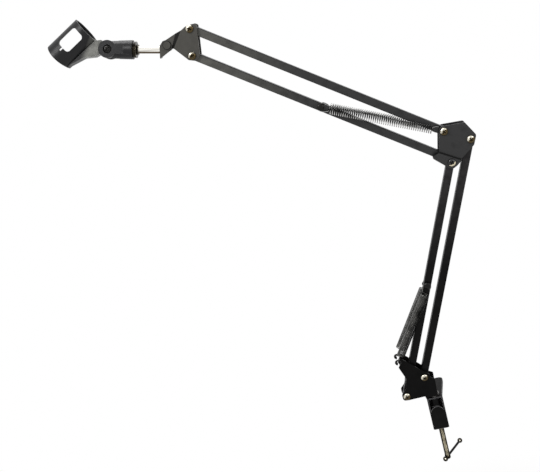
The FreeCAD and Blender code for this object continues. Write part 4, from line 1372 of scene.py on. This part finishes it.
@dataclass
class Elbow(Assembly):
    """The two stepped plates between the arms, with three bolts and a rivet.

    Args:
        half: half the width over the plates' inner parts.
        lug_half: half the width over their lugs.
        tail: how far a bolt stands out at the rear.
        lug_reach: how far round the lug's pivot its own bolt goes.
        cross_turns: how far the bolts' crosses are turned.
    """

    half: float = 8.7 * MM
    lug_half: float = 11.9 * MM
    tail: float = 5.0 * MM
    lug_reach: float = 8.0 * MM
    cross_turns: Triple = (0.95, 0.35, 0.62)

    def build(self) -> list[str]:
        """Makes the elbow's looks.

        Returns:
            The names of its pieces.
        """
        names = dress(UPPER_PAINT_SHADED, "elbow_plate_front", "elbow_plate_rear", "elbow_rivet")
        names += dress(NUT_ZINC, "elbow_nuts") + dress(BUSH_NYLON, "elbow_bushes", "elbow_rivet_bushes")
        lug = PIVOTS["elbow_level"]
        link = lug + PIVOTS["lower_link_turn"] - PIVOTS["lower_arm"]
        stations = [(lug, self.lug_half), (link, self.half), (PIVOTS["upper_link_turn"], self.half)]
        bolts = across_bolts(stations, self.cross_turns, self.tail)
        made = bolted("elbow_bolts_crossed", "elbow_bolts", "elbow", bolts, BOLT_ZINC)
        # Painted shade over the upper half of the lug's own bolt.
        near = [face for face in made.data.polygons if (face.center - lug).xz.length < self.lug_reach]
        recoat(made.data, near, LUG_ZINC_SHADED_TOP)
        return names + [made.name]


@dataclass
class Head(Assembly):
    """The head plates, the tilting clevis and the chromed rod.

    Args:
        half: half the width over the plates.
        tail: how far a bolt stands out at the rear.
        cross_turns: how far the bolts' crosses are turned.
        fold_lean: least and most share of a fold's normal that points across the arm.
        rim_lean: the same for the rim of the tilt bolt.
    """

    half: float = 8.7 * MM
    tail: float = 5.0 * MM
    cross_turns: Pair = (0.2, 0.85)
    fold_lean: Pair = (0.5, 0.99)
    rim_lean: Pair = (-1.0, 0.82)

    def build(self) -> list[str]:
        """Makes the head's looks.

        Returns:
            The names of its pieces.
        """
        names = dress(HEAD_PAINT_LIT, "head_plate_front", "head_plate_rear", "tilt_clevis", "tilt_bolt")
        names += dress(NUT_ZINC, "head_nuts", "tilt_nut") + dress(BUSH_NYLON, "head_bushes")
        names += dress(ROD_CHROME, "microphone_rod")
        # Painted shade on the plates' folds and on the tilt bolt's rim.
        self.darken_slope("head_plate_front", self.fold_lean)
        self.darken_slope("head_plate_rear", self.fold_lean)
        self.darken_slope("tilt_bolt", self.rim_lean)
        link = PIVOTS["head_level"] + PIVOTS["upper_link_turn"] - PIVOTS["upper_arm"]
        stations = [(PIVOTS["head_level"], self.half), (link, self.half)]
        bolts = across_bolts(stations, self.cross_turns, self.tail)
        return names + [bolted("head_bolts_crossed", "head_bolts", "head", bolts, BOLT_ZINC).name]

    def darken_slope(self, name: str, lean: Pair) -> None:
        """Dresses a node's faces of that lean in painted shade: the plates' folds and the tilt bolt's rim.
        """
        mesh = frame["nodes"][name].data
        recoat(mesh, [face for face in mesh.polygons if lean[0] < abs(face.normal.y) < lean[1]], FOLD_SHADE_PAINT)


@dataclass
class MicrophoneClip(Assembly):
    """The barrel on the rod's stud and the open clip between its ears.

    Args:
        screw_seat: from the clip's pivot to the seat of its screw.
        screw_length: from that seat to the end of the screw.
        screw_radius: radius of the screw's shank.
        screw_head: radius of its head.
        screw_dome: height of its head.
        cross_turn: how far its cross is turned.
    """

    screw_seat: float = 7.2 * MM
    screw_length: float = 17.0 * MM
    screw_radius: float = 2.0 * MM
    screw_head: float = 5.4 * MM
    screw_dome: float = 2.2 * MM
    cross_turn: float = 0.5

    def build(self) -> list[str]:
        """Makes the clip's looks.

        Returns:
            The names of its pieces.
        """
        names = dress(INSERT_BRASS, "barrel_insert") + dress(BLACK_PLASTIC, "clip_barrel")
        names += dress(CLIP_PLASTIC_LIT, "microphone_clip") + dress(DARK_STEEL, "clip_nut")
        outward = AXES["clip_tilt"]
        screw = PanHeadBolt(
            PIVOTS["clip_tilt"] + outward * self.screw_seat, outward, self.cross_turn, self.screw_length,
            self.screw_radius, self.screw_head, self.screw_dome,
        )
        return names + [bolted("clip_screw_crossed", "clip_screw", "clip_base", [screw], DARK_STEEL).name]


@dataclass(frozen=True)
class SoftLamp:
    """A square soft box that looks at the middle of the arm.

    Args:
        name: name of the lamp.
        spot: where it hangs.
        power: its power in watts.
        side: width and height of its box.
    """

    name: str
    spot: Triple
    power: float
    side: float

    def hang(self) -> str:
        """Hangs the lamp.

        Returns:
            Its name.
        """
        lamp = bpy.data.lights.new(self.name, "AREA")
        lamp.energy = self.power
        lamp.shape = "RECTANGLE"
        lamp.size = lamp.size_y = self.side
        hung = bpy.data.objects.new(self.name, lamp)
        middle = (Vector(FRAME_BOX[0]) + Vector(FRAME_BOX[1])) / 2
        hung.matrix_world = facing(Vector(self.spot), Vector(self.spot) - middle)
        bpy.context.scene.collection.objects.link(hung)
        return hung.name


@dataclass
class Studio(Assembly):
    """A white studio: backdrop, floor, soft lamps and the camera at the picture's angle.

    Args:
        lamps: the soft lamps.
        room_light: strength of the backdrop as light.
        floor_height: height of the floor, below the clamp's tee bar.
        floor_half: half the width of the floor.
        floor_tones: the floor's two greys.
        floor_patches: patches of grey per floor width.
        floor_roughness: roughness of the floor.
        floor_white: how far the floor is plain white to the eye where the shadow lies.
        shadow_reach: where the shadow starts to fade and where it ends, from the middle of the floor.
        focus_pixels: the lens's focal length in pixels of the picture.
        picture_pixels: width of the picture.
        sensor: width of the sensor in millimetres.
        forward: the way the camera looks.
        right: the way its right side looks.
        camera_from_base_pivot: where it stands, from the lower arm's pivot.
    """

    lamps: tuple[SoftLamp, ...] = (
        SoftLamp("key_lamp", (-0.8, -1.0, 1.4), 12.0, 0.6),
        SoftLamp("fill_lamp", (1.3, -1.0, 0.9), 6.0, 0.8),
        SoftLamp("top_lamp", (-0.1, 0.4, 1.7), 12.0, 0.9),
    )
    room_light: float = 0.45
    floor_height: float = -0.45
    floor_half: float = 6.0
    floor_tones: Pair = (0.95, 0.98)
    floor_patches: float = 3.0
    floor_roughness: float = 0.9
    floor_white: float = 0.55
    shadow_reach: Pair = (0.20, 0.52)
    focus_pixels: float = 829.0
    picture_pixels: float = 540.0
    sensor: float = 36.0
    forward: Triple = (-0.137, 0.9561, -0.2591)
    right: Triple = (0.9645, 0.0692, -0.2548)
    camera_from_base_pivot: Triple = (0.0244, -1.061, 0.5543)

    def build(self) -> list[str]:
        """Sets up the studio and returns the names of what stands in it."""
        self.set_world()
        return [self.lay_floor(), *(lamp.hang() for lamp in self.lamps), self.set_camera()]

    def white_to_eye(self, wiring: Wiring) -> Socket:
        """Light paths that see the studio as plain white.

        Args:
            wiring: nodes of the world or of the floor.

        Returns:
            The socket that is 1 on those paths.
        """
        path = wiring.node("LightPath").outputs
        seen = wiring.reckoned("MAXIMUM", path["Is Camera Ray"], path["Is Glossy Ray"])
        return wiring.reckoned("MAXIMUM", seen, path["Is Transmission Ray"])

    def set_world(self) -> None:
        """Makes the room white to the eye and to reflections, and softer as light."""
        world = bpy.data.worlds.new("white_studio")
        bpy.context.scene.world = world
        world.use_nodes = True
        world.node_tree.nodes.clear()
        wiring = Wiring(world.node_tree)
        output = wiring.node("OutputWorld")
        white = (1.0, 1.0, 1.0, 1.0)
        soft = wiring.node("Background", {"Color": white, "Strength": self.room_light}).outputs["Background"]
        plain = wiring.node("Background", {"Color": white, "Strength": 1.0}).outputs["Background"]
        wiring.join(wiring.blended(self.white_to_eye(wiring), soft, plain), output.inputs["Surface"])

    def floor_material(self) -> bpy.types.Material:
        """A pale floor that fades to plain white to the eye, away from the shadow.

        Returns:
            The material.
        """
        made = bpy.data.materials.new("floor_white")
        made.use_nodes = True
        nodes = made.node_tree.nodes
        wiring = Wiring(made.node_tree)
        shader = nodes["Principled BSDF"]
        shader.inputs["Roughness"].default_value = self.floor_roughness
        field = wiring.node("TexNoise", {"Scale": self.floor_patches}).outputs["Fac"]
        greys = tuple((tone, tone, tone) for tone in self.floor_tones)
        wiring.join(wiring.toned(field, (0.0, 1.0), greys), shader.inputs["Base Color"])
        plain = wiring.node("Emission", {"Strength": 1.0}).outputs["Emission"]
        away = wiring.node("VectorMath")
        away.operation = "LENGTH"
        wiring.join(wiring.place("Object"), away.inputs[0])
        fade = wiring.ranged(away.outputs["Value"], self.shadow_reach, (self.floor_white, 1.0))
        share = wiring.reckoned("MULTIPLY", self.white_to_eye(wiring), fade)
        mixed = wiring.blended(share, shader.outputs["BSDF"], plain)
        wiring.join(mixed, nodes["Material Output"].inputs["Surface"])
        return made

    def lay_floor(self) -> str:
        """Lays a wide pale floor below the clamp's tee bar.

        Returns:
            Its name.
        """
        shape = bmesh.new()
        half = self.floor_half
        corners = ((-half, -half), (half, -half), (half, half), (-half, half))
        shape.faces.new([shape.verts.new((x, y, 0.0)) for x, y in corners])
        mesh = bpy.data.meshes.new("studio_floor")
        shape.to_mesh(mesh)
        shape.free()
        mesh.materials.append(self.floor_material())
        floor = bpy.data.objects.new("studio_floor", mesh)
        floor.location.z = self.floor_height
        bpy.context.scene.collection.objects.link(floor)
        return floor.name

    def set_camera(self) -> str:
        """Stands the camera where the picture was taken from.

        Returns:
            Its name.
        """
        lens = bpy.data.cameras.new("picture_camera")
        lens.sensor_fit = "HORIZONTAL"
        lens.sensor_width = self.sensor
        lens.lens = self.focus_pixels / self.picture_pixels * self.sensor
        forward = Vector(self.forward).normalized()
        right = Vector(self.right)
        right = (right - forward * right.dot(forward)).normalized()
        stand = Matrix((right, right.cross(forward), -forward)).transposed().to_4x4()
        stand.translation = PIVOTS["lower_arm"] + Vector(self.camera_from_base_pivot)
        camera = bpy.data.objects.new("picture_camera", lens)
        camera.matrix_world = stand
        bpy.context.scene.collection.objects.link(camera)
        bpy.context.scene.camera = camera
        bpy.context.scene.view_settings.view_transform = "Standard"
        return camera.name


def main() -> None:
    """Builds the studio and the arm from the table up."""
    logging.basicConfig(level=logging.INFO, format="%(message)s")
    base = SwivelBase()
    assemblies: tuple[Assembly, ...] = (
        Studio(),
        TableClamp(),
        base,
        SprungArm(
            Place.LOWER, hold=base.hook_point(base.hook_seat), ending=Ending.HAIRPIN, turns=58,
            paint=LOWER_PAINT_SHADED, front_plating=SHADED_CHROME, rear_plating=SHADED_CHROME,
        ),
        Elbow(),
        SprungArm(
            Place.UPPER, hold=PIVOTS["upper_link_turn"], ending=Ending.EYE, turns=48,
            paint=UPPER_PAINT_SHADED, front_plating=TOP_SHADED_CHROME, rear_plating=SPRING_CHROME,
        ),
        Head(),
        MicrophoneClip(),
    )
    for assembly in assemblies:
        for name in assembly.build():
            LOG.info("%s: %s", type(assembly).__name__, name)


if __name__ == "__main__":
    main()
